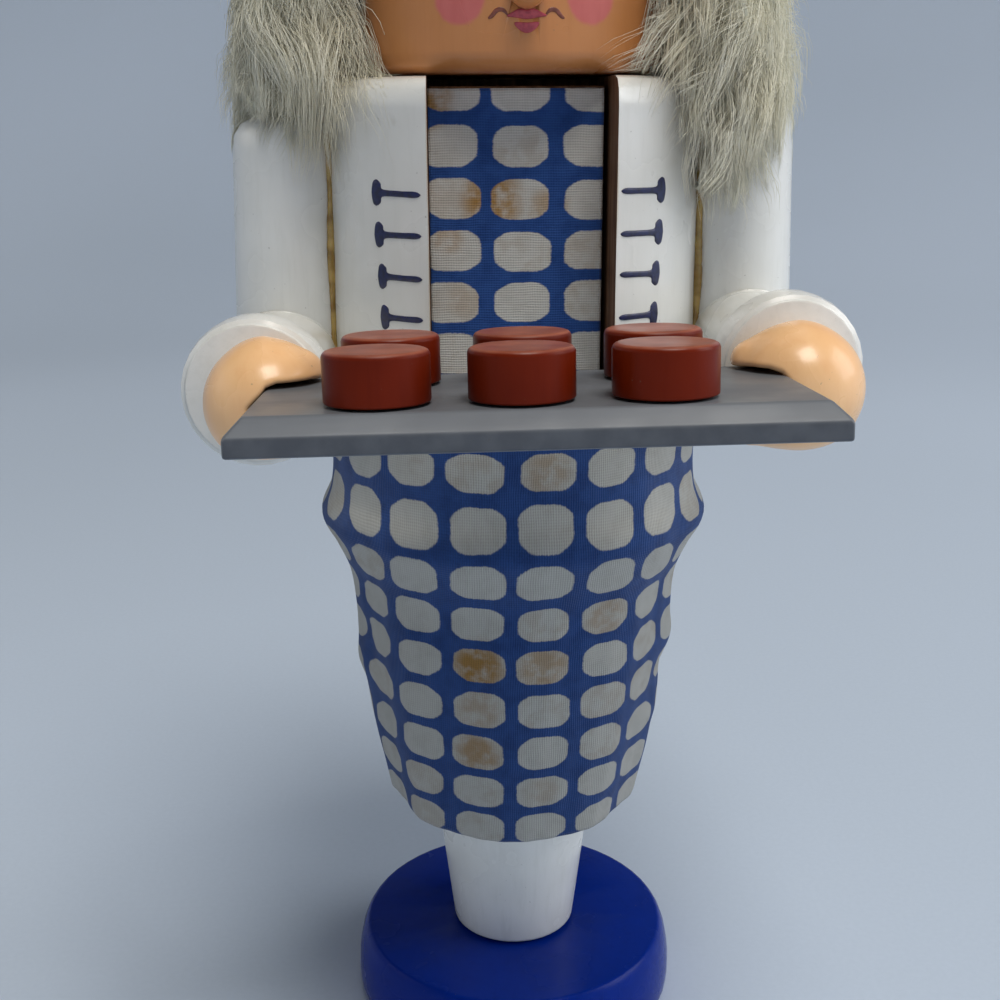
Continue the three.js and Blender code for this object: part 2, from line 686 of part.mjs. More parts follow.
function hairClearances() {
  const headSpace = rod(headRadius + fit, torsoZ, capZ + capBandHeight, roundSteps);
  const torsoSpace = turnedBar(torsoRadius + fit, torsoZ, torsoTopZ + fit, [0, torsoTopEdge], 40);
  const armSpaces = [-1, 1].map((side) => {
    const space = turnedBar(armRadius + fit, 0, shoulderHeight + fit, [0, shoulderEdge], 24);
    return onElbow(space, side).translate(0, 0, elbowZ + side * armShift);
  });
  return [headSpace, torsoSpace, ...armSpaces];
}

function hairSide(side) {
  const frontAngle = side < 0 ? hairLeftFrontAngle : hairRightFrontAngle;
  const share = wedge(frontAngle, hairBackAngle, side);
  return cut(common(hairMass(), share), ...hairClearances());
}

function hairBack() {
  const gapAngle = fit / headRadius;
  const share = join(
    wedge(hairBackAngle + gapAngle, Math.PI, -1),
    wedge(hairBackAngle + gapAngle, Math.PI + gapAngle, 1),
  );
  const under = rod(3 * headRadius, torsoZ, slotFloorZ + tailSlotHeight + hairTailGap);
  return cut(common(hairMass(), share), ...hairClearances(), under);
}

// Assembly
const figure = new THREE.Group();

piece('base_disc', baseDisc(), blueLacquer, figure);
const baseDowel = dowel(baseDowelRadius, baseDowelInBase, baseDowelInLeg);
piece('base_dowel', baseDowel, bareWood, figure).position.z = baseHeight;
piece('leg_post', legPost(), whiteLacquer, figure).position.z = legZ;
const hipDowel = dowel(hipDowelRadius, hipDowelInLeg, hipDowelInTorso);
piece('hip_dowel', hipDowel, bareWood, figure).position.z = torsoZ;
piece('torso', torso(), whiteLacquer, figure).position.z = torsoZ;
piece('apron_skirt', apronSkirt(), printedCloth, figure);

const jaw = new THREE.Group();
jaw.position.set(0, pivotY, pivotZ);
figure.add(jaw);
piece('lever', lever(), darkWood, jaw);
piece('bib_cloth', bibCloth(), printedCloth, jaw);
piece('lever_pin', leverPin(), steel, jaw);

for (const side of [-1, 1]) {
  const word = side < 0 ? 'left' : 'right';
  const arm = new THREE.Group();
  arm.position.z = elbowZ + side * armShift;
  figure.add(arm);
  piece('upper_arm_' + word, upperArm(side), whiteLacquer, arm);
  piece('forearm_' + word, forearm(side), whiteLacquer, arm);
  const peg = dowel(armDowelRadius, armDowelInTorso, armDowelInArm);
  const shoulderPeg = piece('arm_dowel_' + word, peg, bareWood, arm);
  shoulderPeg.rotation.y = (side * Math.PI) / 2;
  shoulderPeg.position.set(side * torsoRadius, armY, armDowelHeight);
}

piece('hand_left', hand(-1), skinLacquer, figure);
piece('hand_right', hand(1), skinLacquer, figure);

const carried = new THREE.Group();
carried.position.set(trayX, trayBackY, trayZ);
carried.rotation.y = -trayRoll;
figure.add(carried);
const board = new THREE.Group();
board.rotation.x = -trayPitch;
carried.add(board);
piece('tray', tray(), trayLacquer, board);
for (let row = 0; row < cakeRows; row++) {
  for (let column = 0; column < cakeColumns; column++) {
    const number = row * cakeColumns + column + 1;
    const one = piece('cake_' + number, cake(), cakeLacquer, board);
    const across = (column - (cakeColumns - 1) / 2) * cakePitch + cakeRowShift[row];
    one.position.set(across, -trayDepth + cakeFrontMargin + row * cakePitch, fit);
  }
}

const neckDowel = dowel(neckDowelRadius, neckDowelInTorso, neckDowelInHead);
piece('neck_dowel', neckDowel, bareWood, figure).position.set(0, neckDowelY, headZ);
piece('head', head(), skinLacquer, figure).position.z = headZ;
const noseBead = piece('nose', nose(), skinLacquer, figure);
noseBead.position.z = headZ + noseHeight;
noseBead.rotation.z = faceTurn;
piece('cap', cap(), whiteLacquer, figure).position.z = capZ;
piece('hair_left', hairSide(-1), greyFur, figure);
piece('hair_right', hairSide(1), greyFur, figure);
piece('hair_back', hairBack(), greyFur, figure);

export default figure;
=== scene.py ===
"""Looks of a wooden nutcracker figure: a baker with a tray of cakes.

Lacquer, printed cotton, fur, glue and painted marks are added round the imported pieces. Metres, in
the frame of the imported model: Z up, the figure faces -Y, and left is the viewer's left.
"""

import math

import bmesh
import bpy
import numpy as np
from mathutils import Matrix, Vector, noise


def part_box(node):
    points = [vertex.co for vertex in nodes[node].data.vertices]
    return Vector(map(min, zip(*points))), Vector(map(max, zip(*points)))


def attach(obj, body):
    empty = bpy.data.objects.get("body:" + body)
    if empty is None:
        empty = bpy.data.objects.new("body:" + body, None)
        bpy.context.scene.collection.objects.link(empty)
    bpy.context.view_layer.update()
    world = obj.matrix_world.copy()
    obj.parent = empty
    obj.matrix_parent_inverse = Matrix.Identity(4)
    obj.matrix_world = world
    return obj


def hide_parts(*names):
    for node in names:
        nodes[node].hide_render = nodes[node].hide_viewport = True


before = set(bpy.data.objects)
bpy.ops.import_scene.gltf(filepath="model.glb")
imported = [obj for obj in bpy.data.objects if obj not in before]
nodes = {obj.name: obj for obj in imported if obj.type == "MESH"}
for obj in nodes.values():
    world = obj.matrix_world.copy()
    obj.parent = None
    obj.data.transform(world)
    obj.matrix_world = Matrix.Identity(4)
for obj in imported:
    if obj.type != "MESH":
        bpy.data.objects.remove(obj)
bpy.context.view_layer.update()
MM = 0.001
FIGURE, LEVER = "figure", "lever"

# Driving sizes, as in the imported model
TORSO_RADIUS, TORSO_EDGE = 28.7 * MM, 4.2 * MM
HEAD_RADIUS = 22.5 * MM
FACE_TURN = 0.9 * MM  # the face's middle, along the head's surface towards +X
TORSO_LOW, TORSO_HIGH = (corner.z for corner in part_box("torso"))
HEAD_LOW, HEAD_HIGH = (corner.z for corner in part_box("head"))
SIDES = {"left": -1, "right": 1}
ARM_X, ARM_Y, ARM_RADIUS = 34.8 * MM, -5 * MM, 8 * MM
ARM_LENGTH = 28.9 * MM  # from the elbow to the cuff's front
ARM_LEAN, ARM_SPLAY = math.radians(2.1), math.radians(3.1)
ELBOW = {"left": TORSO_LOW + 26.1 * MM, "right": TORSO_LOW + 28.6 * MM}


def link(name, data):
    """A new object that shows data."""
    piece = bpy.data.objects.new(name, data)
    bpy.context.scene.collection.objects.link(piece)
    return piece


def smooth_object(name, data, material):
    """A new object of mesh data, with every face smooth."""
    data.shade_smooth()
    data.materials.append(material)
    return link(name, data)


def mesh_object(name, mesh, material):
    """A new object of a bmesh."""
    data = bpy.data.meshes.new(name)
    mesh.to_mesh(data)
    mesh.free()
    return smooth_object(name, data, material)


def grid_mesh(points, closed=False):
    """A bmesh of quads through a (rows, columns, 3) array, and its vertices in the same order."""
    rows, columns = points.shape[:2]
    mesh = bmesh.new()
    verts = [[mesh.verts.new(points[r, c]) for c in range(columns)] for r in range(rows)]
    for r in range(rows - 1):
        for c in range(columns if closed else columns - 1):
            n = (c + 1) % columns
            mesh.faces.new((verts[r][c], verts[r][n], verts[r + 1][n], verts[r + 1][c]))
    return mesh, verts


def capped_tube(name, rings, material):
    """A closed tube through rings of places, fixed to the figure."""
    mesh, verts = grid_mesh(np.array(rings), closed=True)
    mesh.faces.new(verts[0][::-1])
    mesh.faces.new(verts[-1])
    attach(mesh_object(name, mesh, material), FIGURE)


def unit(vectors):
    return vectors / (np.linalg.norm(vectors, axis=-1, keepdims=True) + 1e-12)


def coordinates(mesh):
    """The places of a mesh's vertices."""
    points = np.empty(len(mesh.vertices) * 3)
    mesh.vertices.foreach_get("co", points)
    return points.reshape(-1, 3)


# Camera, floor and light

LIGHT_TARGET = (0, 0, 0.12)
LAMPS = (  # name, place, size, power in watts, tint
    ("top_light", (0.245, -0.637, 1.786), 0.8, 20.6, 0xFFFBF3),
    ("side_light", (1.14, -0.06, 0.73), 0.8, 6.4, 0xFFFFFF),
    ("far_light", (-0.88, 0.08, 0.59), 0.6, 0.5, 0xFFF0DC),
    ("back_light", (0.1, 0.54, 1.07), 0.5, 0.5, 0xFFFCF6),
)
BACKDROP_FLAT, BACKDROP_WALL, BACKDROP_HEIGHT = 0.7, 1.7, 1.1  # radii and height in metres


def place_camera():
    """The camera stands close in front of the figure's chest and looks down at it."""
    place = (-10.4 * MM, -211.7 * MM, 153 * MM)
    heading, pitch, roll = (math.radians(x) for x in (2.244, 16.5, 0.27))
    focal_px, frame_px, sensor_mm = 1340, 1000, 36
    data = bpy.data.cameras.new("camera")
    data.sensor_width = sensor_mm
    data.lens = sensor_mm * focal_px / frame_px
    data.clip_start, data.clip_end = 0.01, 20
    camera = link("camera", data)
    camera.matrix_world = (
        Matrix.Translation(place)
        @ Matrix.Rotation(-heading, 4, "Z")
        @ Matrix.Rotation(math.pi / 2 - pitch, 4, "X")
        @ Matrix.Rotation(-roll, 4, "Z")
    )
    bpy.context.scene.camera = camera


def colour(code):
    """A colour written as 0xRRGGBB, as the shader's linear values."""
    parts = [(code >> shift & 255) / 255 for shift in (16, 8, 0)]
    return [((c + 0.055) / 1.055) ** 2.4 if c > 0.04045 else c / 12.92 for c in parts] + [1]


class Look:
    """A material, built node by node."""

    def __init__(self, name):
        self.material = bpy.data.materials.new(name)
        self.material.use_nodes = True
        self.tree = self.material.node_tree
        self.shader = self.tree.nodes["Principled BSDF"]

    def feed(self, socket, value):
        if isinstance(value, bpy.types.NodeSocket):
            self.tree.links.new(value, socket)
        else:
            socket.default_value = value

    def node(self, kind, inputs, **settings):
        """The outputs of a new node. Its inputs are given by their names or numbers."""
        made = self.tree.nodes.new(kind)
        for key, value in settings.items():
            setattr(made, key, value)
        for key, value in inputs.items():
            self.feed(made.inputs[key], value)
        return made.outputs

    def set(self, **values):
        """Sets the shader's sockets, named with underscores for spaces."""
        for key, value in values.items():
            self.feed(self.shader.inputs[key.replace("_", " ")], value)

    def base(self):
        """The colour that the shader has so far."""
        return self.shader.inputs["Base Color"].links[0].from_socket

    def normal(self):
        return self.node("ShaderNodeNewGeometry", {})["Normal"]

    def attribute(self, name):
        return self.node("ShaderNodeAttribute", {}, attribute_name=name)["Fac"]

    def math(self, operation, a, b=0.0, c=0.0):
        return self.node("ShaderNodeMath", {0: a, 1: b, 2: c}, operation=operation)[0]

    def plus(self, a, b):
        return self.math("ADD", a, b)

    def minus(self, a, b):
        return self.math("SUBTRACT", a, b)

    def times(self, a, b):
        return self.math("MULTIPLY", a, b)

    def over(self, a, b):
        return self.math("DIVIDE", a, b)

    def scaled(self, value, factor, shift):
        return self.math("MULTIPLY_ADD", value, factor, shift)

    def mix(self, factor, a, b, blend="MIX"):
        """Mixes two colours, each of them a socket or a code like 0xRRGGBB."""
        a, b = (colour(value) if isinstance(value, int) else value for value in (a, b))
        inputs = {0: factor, 6: a, 7: b}
        return self.node("ShaderNodeMix", inputs, data_type="RGBA", blend_type=blend)[2]

    def fade(self, value, low, high, to_low=0.0, to_high=1.0):
        """Runs smoothly from to_low, at low, to to_high, at high."""
        inputs = {0: value, 1: low, 2: high, 3: to_low, 4: to_high}
        return self.node("ShaderNodeMapRange", inputs, interpolation_type="SMOOTHSTEP")[0]

    def place(self, kind="Object", scale=(1, 1, 1)):
        """Texture coordinates in metres, stretched by scale."""
        given = self.node("ShaderNodeTexCoord", {})[kind]
        return self.node("ShaderNodeMapping", {"Vector": given, "Scale": scale})[0]

    def noise(self, vector, scale, detail, roughness=0.5, distortion=0.0):
        inputs = {"Vector": vector, "Scale": scale, "Detail": detail}
        inputs.update(Roughness=roughness, Distortion=distortion)
        return self.node("ShaderNodeTexNoise", inputs)["Fac"]

    def split(self, vector):
        return self.node("ShaderNodeSeparateXYZ", {0: vector})

    def join(self, x, y, z=0.0):
        return self.node("ShaderNodeCombineXYZ", {0: x, 1: y, 2: z})[0]

    def chance(self, x, y, z):
        """Three random numbers for each set of whole numbers."""
        inputs = {"Vector": self.join(x, y, z)}
        luck = self.node("ShaderNodeTexWhiteNoise", inputs, noise_dimensions="3D")
        return self.split(luck["Color"])

    def bump(self, height, depth):
        """Relief of the height, which runs from 0 to 1, over a depth in metres."""
        return self.node("ShaderNodeBump", {"Strength": 1, "Distance": depth, "Height": height})[0]

    def edges(self, radius):
        """A mask that is 1 on sharp edges and fades within radius of them."""
        soft = self.node("ShaderNodeBevel", {"Radius": radius}, samples=4)[0]
        inputs = {0: soft, 1: self.normal()}
        dot = self.node("ShaderNodeVectorMath", inputs, operation="DOT_PRODUCT")["Value"]
        return self.fade(dot, 0.995, 0.93)


def finish_stage():
    """A pale floor that curves up into a backdrop all round, and soft light from above."""
    look = Look("backdrop_paper")
    grain = look.noise(look.place(), 900, 2)
    wide = look.noise(look.place(), 1.2, 2)
    tone = look.mix(look.fade(wide, 0.35, 0.65), 0xBBC8D9, 0xC4D1E3)
    look.set(Base_Color=look.mix(0.04, tone, grain), Roughness=0.9, Specular_IOR_Level=0.2)

    profile = [(BACKDROP_FLAT / 2, 0)]
    for turn in np.linspace(0, math.pi / 2, 25):
        rise = BACKDROP_HEIGHT * (1 - math.cos(turn))
        profile.append((BACKDROP_FLAT + (BACKDROP_WALL - BACKDROP_FLAT) * math.sin(turn), rise))
    radius, z = np.array(profile).T[:, :, None]
    angle = -np.linspace(0, 2 * math.pi, 96, endpoint=False)
    rings = np.stack([radius * np.cos(angle), radius * np.sin(angle), z + 0 * angle], -1)
    mesh, verts = grid_mesh(rings, closed=True)
    mesh.faces.new(verts[0][::-1])
    floor = mesh_object("floor", mesh, look.material)

    world = bpy.data.worlds.new("studio")
    world.use_nodes = True
    bpy.context.scene.world = world
    sky = world.node_tree.nodes["Background"]
    sky.inputs["Color"].default_value = colour(0xE8E2D2)
    sky.inputs["Strength"].default_value = 0.055
    for lamp in LAMPS:
        softbox(*lamp)


def softbox(name, place, size, power, tint):
    """A soft square lamp that faces the figure."""
    data = bpy.data.lights.new(name, "AREA")
    data.shape, data.size, data.energy = "SQUARE", size, power
    data.color = colour(tint)[:3]
    light = link(name, data)
    light.location = place
    light.rotation_mode = "QUATERNION"
    light.rotation_quaternion = (Vector(place) - Vector(LIGHT_TARGET)).to_track_quat("Z", "Y")


# Materials

def lacquered(
    name, main, deep, upright=(1, 1, 0.1), roughness=0.24, coat=0.3, gloss=0.5, worn=None
):
    """Brushed lacquer on turned wood, streaked along the axis that upright shrinks."""
    look = Look(name)
    spot, along = look.place(), look.place(scale=upright)
    cloud = look.noise(spot, 70, 3)
    streak = look.noise(along, 800, 3, 0.6)
    peel = look.noise(spot, 420, 2)
    speck = look.noise(spot, 1900, 1)
    tone = look.mix(look.fade(cloud, 0.35, 0.75, 0, 0.55), main, deep)
    tone = look.mix(look.fade(streak, 0.45, 0.8, 0, 0.4), tone, deep)
    tone = look.mix(look.fade(speck, 0.76, 0.82, 0, 0.35), tone, 0x6B6459)
    if worn:
        patchy = look.times(look.edges(0.35 * MM), look.fade(cloud, 0.42, 0.62))
        tone = look.mix(look.times(patchy, 0.7), tone, worn)
    relief = look.scaled(streak, 0.5, look.times(peel, 0.5))
    look.set(
        Base_Color=tone,
        Roughness=look.fade(cloud, 0.3, 0.7, roughness * 0.8, roughness * 1.35),
        Specular_IOR_Level=gloss,
        Coat_Weight=coat,
        Coat_Roughness=0.12,
        Normal=look.bump(relief, 0.035 * MM),
    )
    return look


def lacquer(*settings, **more):
    """The material of a lacquer that needs no more work."""
    return lacquered(*settings, **more).material


def tray_lacquer():
    """Grey lacquer, with painted shade on the faces that look forward, away from the light from
    above.
    """
    look = lacquered("tray_lacquer", 0x6F7379, 0x64676D, (0.1, 1, 1), 0.4, 0.05, 0.3)
    # Painted shade: faces that look forward take the darker grey 0x4B4E55, in patches, as the shade
    # they lie in under light from above.
    forward = look.fade(look.split(look.normal())[1], -0.75, -0.97)
    patchy = look.fade(look.noise(look.place(), 300, 3), 0.3, 0.7, 0.6, 0.9)
    look.set(Base_Color=look.mix(look.times(forward, patchy), look.base(), 0x4B4E55))
    return look.material


def cake_lacquer():
    """Red-brown lacquer, glossier on the cakes' tops, where a paler colour is laid on as a painted
    sheen of the light from above.
    """
    look = lacquered("cake_lacquer", 0x6F1E05, 0x5B1402, roughness=0.34, coat=0.0)
    # Painted sheen: faces that look up take the paler 0xB2664B, in patches, in place of the
    # reflection of the light above them.
    upward = look.fade(look.split(look.normal())[2], 0.5, 0.95)
    base = look.base()
    painted_sheen_share = look.fade(look.noise(look.place(), 260, 3), 0.3, 0.7, 0.35, 0.75)
    top = look.mix(painted_sheen_share, base, 0xB2664B)
    look.set(Base_Color=look.mix(upward, base, top))
    look.set(Specular_IOR_Level=look.scaled(upward, 0.6, 0.12))
    return look.material


def wood(name, light, dark):
    """Sawn or turned wood with its grain upright."""
    look = Look(name)
    along = look.place(scale=(1, 1, 0.06))
    band = look.noise(along, 520, 4, 0.6, 0.8)
    pore = look.noise(along, 3600, 2, 0.5)
    cloud = look.noise(look.place(), 110, 2)
    tone = look.mix(look.fade(band, 0.35, 0.68), light, dark)
    tone = look.mix(look.fade(pore, 0.6, 0.75, 0, 0.5), tone, dark)
    tone = look.mix(look.fade(cloud, 0.4, 0.75, 0, 0.35), tone, dark)
    look.set(
        Base_Color=tone,
        Roughness=look.fade(band, 0.3, 0.7, 0.62, 0.82),
        Specular_IOR_Level=0.35,
        Normal=look.bump(look.scaled(pore, -0.6, band), 0.06 * MM),
    )
    return look.material


def steel():
    """Drawn steel, scratched along the pin."""
    look = Look("pin_steel")
    scratch = look.noise(look.place(scale=(0.08, 1, 1)), 3000, 3)
    tone = look.mix(scratch, 0x8E9194, 0xB9BCBF)
    rough = look.fade(scratch, 0.3, 0.7, 0.25, 0.5)
    look.set(Base_Color=tone, Metallic=1.0, Roughness=rough, Normal=look.bump(scratch, 0.01 * MM))
    return look.material


def face_lacquer():
    """Skin lacquer with two rosy cheeks, brushed on with soft edges."""
    cheek_radius, cheek_height, cheek_side = 3.8 * MM, 9.8 * MM, 9.2 * MM
    look = lacquered("face_lacquer", 0xCF8A52, 0xC17B43, roughness=0.3, coat=0.1)
    x, y, z = look.split(look.place())
    turn = look.math("ARCTAN2", x, look.times(y, -1))
    along = look.scaled(turn, HEAD_RADIUS, -FACE_TURN)
    aside = look.minus(look.math("ABSOLUTE", along), cheek_side)
    above = look.minus(z, HEAD_LOW + cheek_height)
    distance = look.math("SQRT", look.scaled(above, above, look.times(aside, aside)))
    ragged = look.times(look.noise(look.place(), 900, 3), 0.5 * MM)
    rouge = look.fade(
        look.plus(distance, ragged), cheek_radius + 0.45 * MM, cheek_radius - 0.35 * MM, 0, 0.88
    )
    brushed = look.noise(look.place(scale=(1, 1, 0.2)), 700, 2)
    pink = look.mix(brushed, 0xC85A5C, 0xDB7573)
    look.set(Base_Color=look.mix(rouge, look.base(), pink))
    return look.material


COLUMN_PITCH, ROW_PITCH = 10.2 * MM, 7.45 * MM  # of the printed blocks
THREAD_PITCH = 0.36 * MM


def cotton(name, middle, low, stains, threads_up, painted_light_level):
    """Cotton printed with pale blocks on blue, drawn on the UV map, which is in metres.

    Each block has corners cut by chance, and the blocks stand in columns and rows. The stains are
    (across, up, radius, strength) patches, in millimetres, where the print has yellowed.
    """
    look = Look(name)
    uv = look.place("UV")
    across_threads, along_threads = look.place("UV", (0.12, 1, 1)), look.place("UV", (1, 0.12, 1))
    threads = along_threads if threads_up else across_threads
    warp = look.noise(uv, 130, 2)
    u, v, _ = look.split(uv)
    u = look.plus(u, look.scaled(warp, 0.9 * MM, -middle - 0.45 * MM))
    v = look.plus(v, look.scaled(warp, -0.7 * MM, -low + 0.35 * MM))
    column, row = look.over(u, COLUMN_PITCH), look.over(v, ROW_PITCH)
    column_number, row_number = look.math("FLOOR", column), look.math("FLOOR", row)
    luck = look.chance(column_number, row_number, 0.0)
    more_luck = look.chance(column_number, row_number, 7.0)

    across = look.minus(look.math("FRACT", column), 0.5)
    across = look.plus(across, look.scaled(luck[0], 0.05, -0.025))
    up = look.minus(look.math("FRACT", row), 0.5)
    up = look.plus(up, look.scaled(luck[1], 0.05, -0.025))
    wide = look.over(look.math("ABSOLUTE", across), look.scaled(luck[2], 0.025, 0.392))
    tall = look.over(look.math("ABSOLUTE", up), look.scaled(more_luck[0], 0.03, 0.375))
    corner_column = look.scaled(column_number, 2, look.math("SIGN", across))
    corner_row = look.scaled(row_number, 2, look.math("SIGN", up))
    cutting = look.scaled(look.chance(corner_column, corner_row, 3.0)[0], 0.22, 1.42)
    slant = look.over(look.plus(wide, tall), cutting)
    block = look.math("SMOOTH_MAX", look.math("SMOOTH_MAX", wide, tall, 0.18), slant, 0.24)
    for grain in (look.noise(threads, 5200, 2), look.noise(uv, 2300, 2)):
        block = look.plus(block, look.scaled(grain, 0.07, -0.035))
    bare = look.fade(block, 1.035, 0.955)

    yellowed = 0.0
    for stain_u, stain_v, radius, strength in stains:
        ends = {0: look.join(u, v), 1: (stain_u * MM, stain_v * MM, 0)}
        away = look.node("ShaderNodeVectorMath", ends, operation="DISTANCE")["Value"]
        near = look.fade(away, radius * MM, radius * MM * 0.35, 0, strength)
        yellowed = look.math("MAXIMUM", near, yellowed)
    patchy = look.noise(uv, 330, 3, 0.6)
    own = look.fade(look.times(more_luck[1], patchy), 0.3, 0.5, 0, 0.14)
    yellowed = look.math("MAXIMUM", look.times(yellowed, look.fade(patchy, 0.2, 0.6)), own)
    cream = look.mix(look.fade(patchy, 0.4, 0.7, 0, 0.5), 0xD9D7CF, 0xC8C5BC)
    cream = look.mix(yellowed, cream, 0xB58A4C)
    dye = look.mix(look.fade(patchy, 0.35, 0.7), 0x31579B, 0x284B8B)

    ribs, picks = (look.math("SINE", look.times(w, 2 * math.pi / THREAD_PITCH)) for w in (u, v))
    strong, weak = (ribs, picks) if threads_up else (picks, ribs)
    weave = look.scaled(strong, 0.32, look.scaled(weak, 0.16, 0.5))
    weave = look.scaled(look.noise(threads, 2600, 3, 0.6), 0.5, weave)
    # painted_light_level scales the whole print as painted light; below 1 it is painted shade.
    shade = look.fade(weave, 0.35, 1.0, 0.84 * painted_light_level, 1.04 * painted_light_level)
    tone = look.mix(1.0, look.mix(bare, dye, cream), look.join(shade, shade, shade), "MULTIPLY")
    look.set(
        Base_Color=tone,
        Roughness=0.92,
        Specular_IOR_Level=0.2,
        Sheen_Weight=0.15,
        Sheen_Roughness=0.5,
        Normal=look.bump(weave, 0.07 * MM),
    )
    return look.material


def fur_strands():
    """Silver-grey fur: each strand has its own tone and is darker at its root."""
    look = Look("grey_fur")
    tone = look.attribute("tone")
    along = look.attribute("along")
    hue = look.noise(look.place(), 60, 2)
    pale = look.mix(tone, 0xDCD9C2, 0xFBF8E9)
    warm = look.mix(look.fade(hue, 0.4, 0.7, 0, 0.45), pale, 0xE6DDBF)
    rooted = look.mix(look.fade(along, 0.0, 0.55, 0.2, 0.0), warm, 0xD2CEB8)
    look.set(Base_Color=rooted, Roughness=0.5, Specular_IOR_Level=0.35, Sheen_Weight=0.2)
    return look.material


def fur_depth():
    """The shaded depth of the fur, streaked along its fall."""
    look = Look("underfur")
    streak = look.noise(look.place(scale=(1, 1, 0.12)), 1500, 3, 0.6)
    tone = look.mix(look.fade(streak, 0.35, 0.7), 0xEFEDDC, 0xD4D1BC)
    look.set(Base_Color=tone, Roughness=0.8, Specular_IOR_Level=0.2)
    look.set(Normal=look.bump(streak, 0.4 * MM))
    return look.material


def paint(name, main, deep):
    """Thin paint laid on with a small brush."""
    look = Look(name)
    streak = look.noise(look.place(), 1500, 2)
    look.set(
        Base_Color=look.mix(look.fade(streak, 0.35, 0.7), main, deep),
        Roughness=look.fade(streak, 0.3, 0.7, 0.28, 0.45),
        Coat_Weight=0.2,
        Normal=look.bump(streak, 0.02 * MM),
    )
    return look.material


def hide_glue():
    """Hardened hide glue, amber and half clear."""
    look = Look("hide_glue")
    cloud = look.noise(look.place(), 400, 3)
    look.set(
        Base_Color=look.mix(look.fade(cloud, 0.3, 0.7), 0xC2A25A, 0x8A6A2C),
        Roughness=0.22,
        Coat_Weight=0.4,
        Subsurface_Weight=0.25,
        Subsurface_Scale=0.6 * MM,
        Normal=look.bump(cloud, 0.08 * MM),
    )
    return look.material


# Carried-over pieces

def weld(piece):
    """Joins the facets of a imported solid, whose normals are made anew."""
    piece.data.attributes.remove(piece.data.attributes["custom_normal"])
    piece.modifiers.new("weld", "WELD").merge_threshold = 0.002 * MM


def give(names, material, bevel=0.0):
    """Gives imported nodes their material, smooth faces and eased edges."""
    for name in names:
        node = nodes[name]
        node.data.materials.clear()
        node.data.materials.append(material)
        weld(node)
        node.data.shade_smooth()
        if bevel:
            flat = node.modifiers.new("flat", "DECIMATE")
            flat.decimate_type = "DISSOLVE"
            flat.angle_limit = math.radians(0.5)
            ease = node.modifiers.new("ease", "BEVEL")
            ease.width, ease.segments = bevel, 2
            ease.limit_method, ease.angle_limit = "ANGLE", math.radians(38)
        normals = node.modifiers.new("normals", "WEIGHTED_NORMAL")
        normals.weight, normals.keep_sharp = 50, False


def bare_inside(name, radius, edge, material):
    """Gives bare wood to the faces of a turned node that lie inside its lacquered surface."""
    node = nodes[name]
    low, high = (corner.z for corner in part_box(name))
    node.data.materials.append(material)
    for facet in node.data.polygons:
        x, y, z = facet.center
        reach = math.hypot(x, y)
        outward = (facet.normal.x * x + facet.normal.y * y) / reach > 0.05
        end = abs(facet.normal.z) > 0.99 and min(abs(z - low), abs(z - high)) < 0.01 * MM
        if not (outward and reach > radius - edge or end):
            facet.material_index = 1


def finish_nodes():
    """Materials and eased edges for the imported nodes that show."""
    white = lacquer("white_lacquer", 0xEDECE7, 0xDBDAD3, worn=0xC9B28C)
    sleeve = lacquer("sleeve_lacquer", 0xEDECE7, 0xDBDAD3, upright=(1, 0.1, 1))
    blue = lacquer("blue_lacquer", 0x02298C, 0x012178, (1, 1, 1), 0.22, 0.0, 0.12)
    nose = lacquer("nose_lacquer", 0xD98F58, 0xCB824A, roughness=0.28, coat=0.2)
    beech, stained = wood("beech", 0xCDA877, 0xA67E50), wood("stained_wood", 0x8A6240, 0x5E3F27)
    dowels = ["base_dowel", "hip_dowel", "neck_dowel", "arm_dowel_left", "arm_dowel_right"]
    give(["torso"], white, 0.3 * MM)
    bare_inside("torso", TORSO_RADIUS, TORSO_EDGE + 0.2 * MM, stained)
    give(["leg_post", "cap"], white)
    give(["upper_arm_left", "upper_arm_right"], white, 0.2 * MM)
    give(["forearm_left", "forearm_right"], sleeve, 0.2 * MM)
    give(["base_disc"], blue)
    give(["tray"], tray_lacquer(), 0.35 * MM)
    give([f"cake_{number}" for number in range(1, 7)], cake_lacquer(), 0.25 * MM)
    give(["lever"], stained, 0.3 * MM)
    give(dowels, beech)
    give(["lever_pin"], steel())
    give(["nose"], nose)
    give(["head"], face_lacquer())


# Cloth

CLOTH_THICKNESS = 0.3 * MM
BIB_STAINS = (  # across, up, radius, strength
    (-8.5, 47, 5, 1), (0.7, 33.5, 6, 1), (9, 32, 4, 0.6), (-5.5, 28, 3, 0.5), (-3, 19, 4, 0.3),
)
APRON_STAINS = (
    (-5.1, 33.5, 6, 1), (5.1, 33.5, 6, 0.6), (-5.1, 18.6, 5, 0.75), (-5.1, 26.1, 5, 0.4),
    (5.1, 63.3, 5, 0.45), (15.3, 41, 5, 0.45), (5.1, 11.2, 4, 0.25),
)
APRON_TURN = math.radians(124)
APRON_HEM, APRON_WAIST = TORSO_LOW - 50.7 * MM, TORSO_LOW - 9.5 * MM
APRON_TOP = TORSO_LOW + 17.5 * MM
APRON_HEIGHTS = np.array([38.8, 41.3, 48.6, 55.8, 63.8, 71.4, 78.4, 85.7, 94.6, 102.9, 107]) * MM
APRON_ROWS = np.array([0.17, 0.5, 1.5, 2.5, 3.5, 4.5, 5.5, 6.5, 7.5, 8.5, 9.1])  # at those heights
APRON_BUCKLES = (  # turn in degrees, height, width in degrees, height spanned, depth
    (74, 62.5, 9, 3.2, -0.9),
    (82, 68.5, 12, 2.6, 0.7),
    (66, 56, 10, 2.4, 0.45),
    (-72, 71, 10, 3, -0.8),
    (-80, 64.5, 11, 2.6, 0.65),
    (-64, 58.5, 9, 2.5, -0.4),
    (-50, 88, 9, 3.5, -0.7),
    (52, 90, 8, 3.5, -0.6),
    (38, 97, 6, 3, 0.4),
)


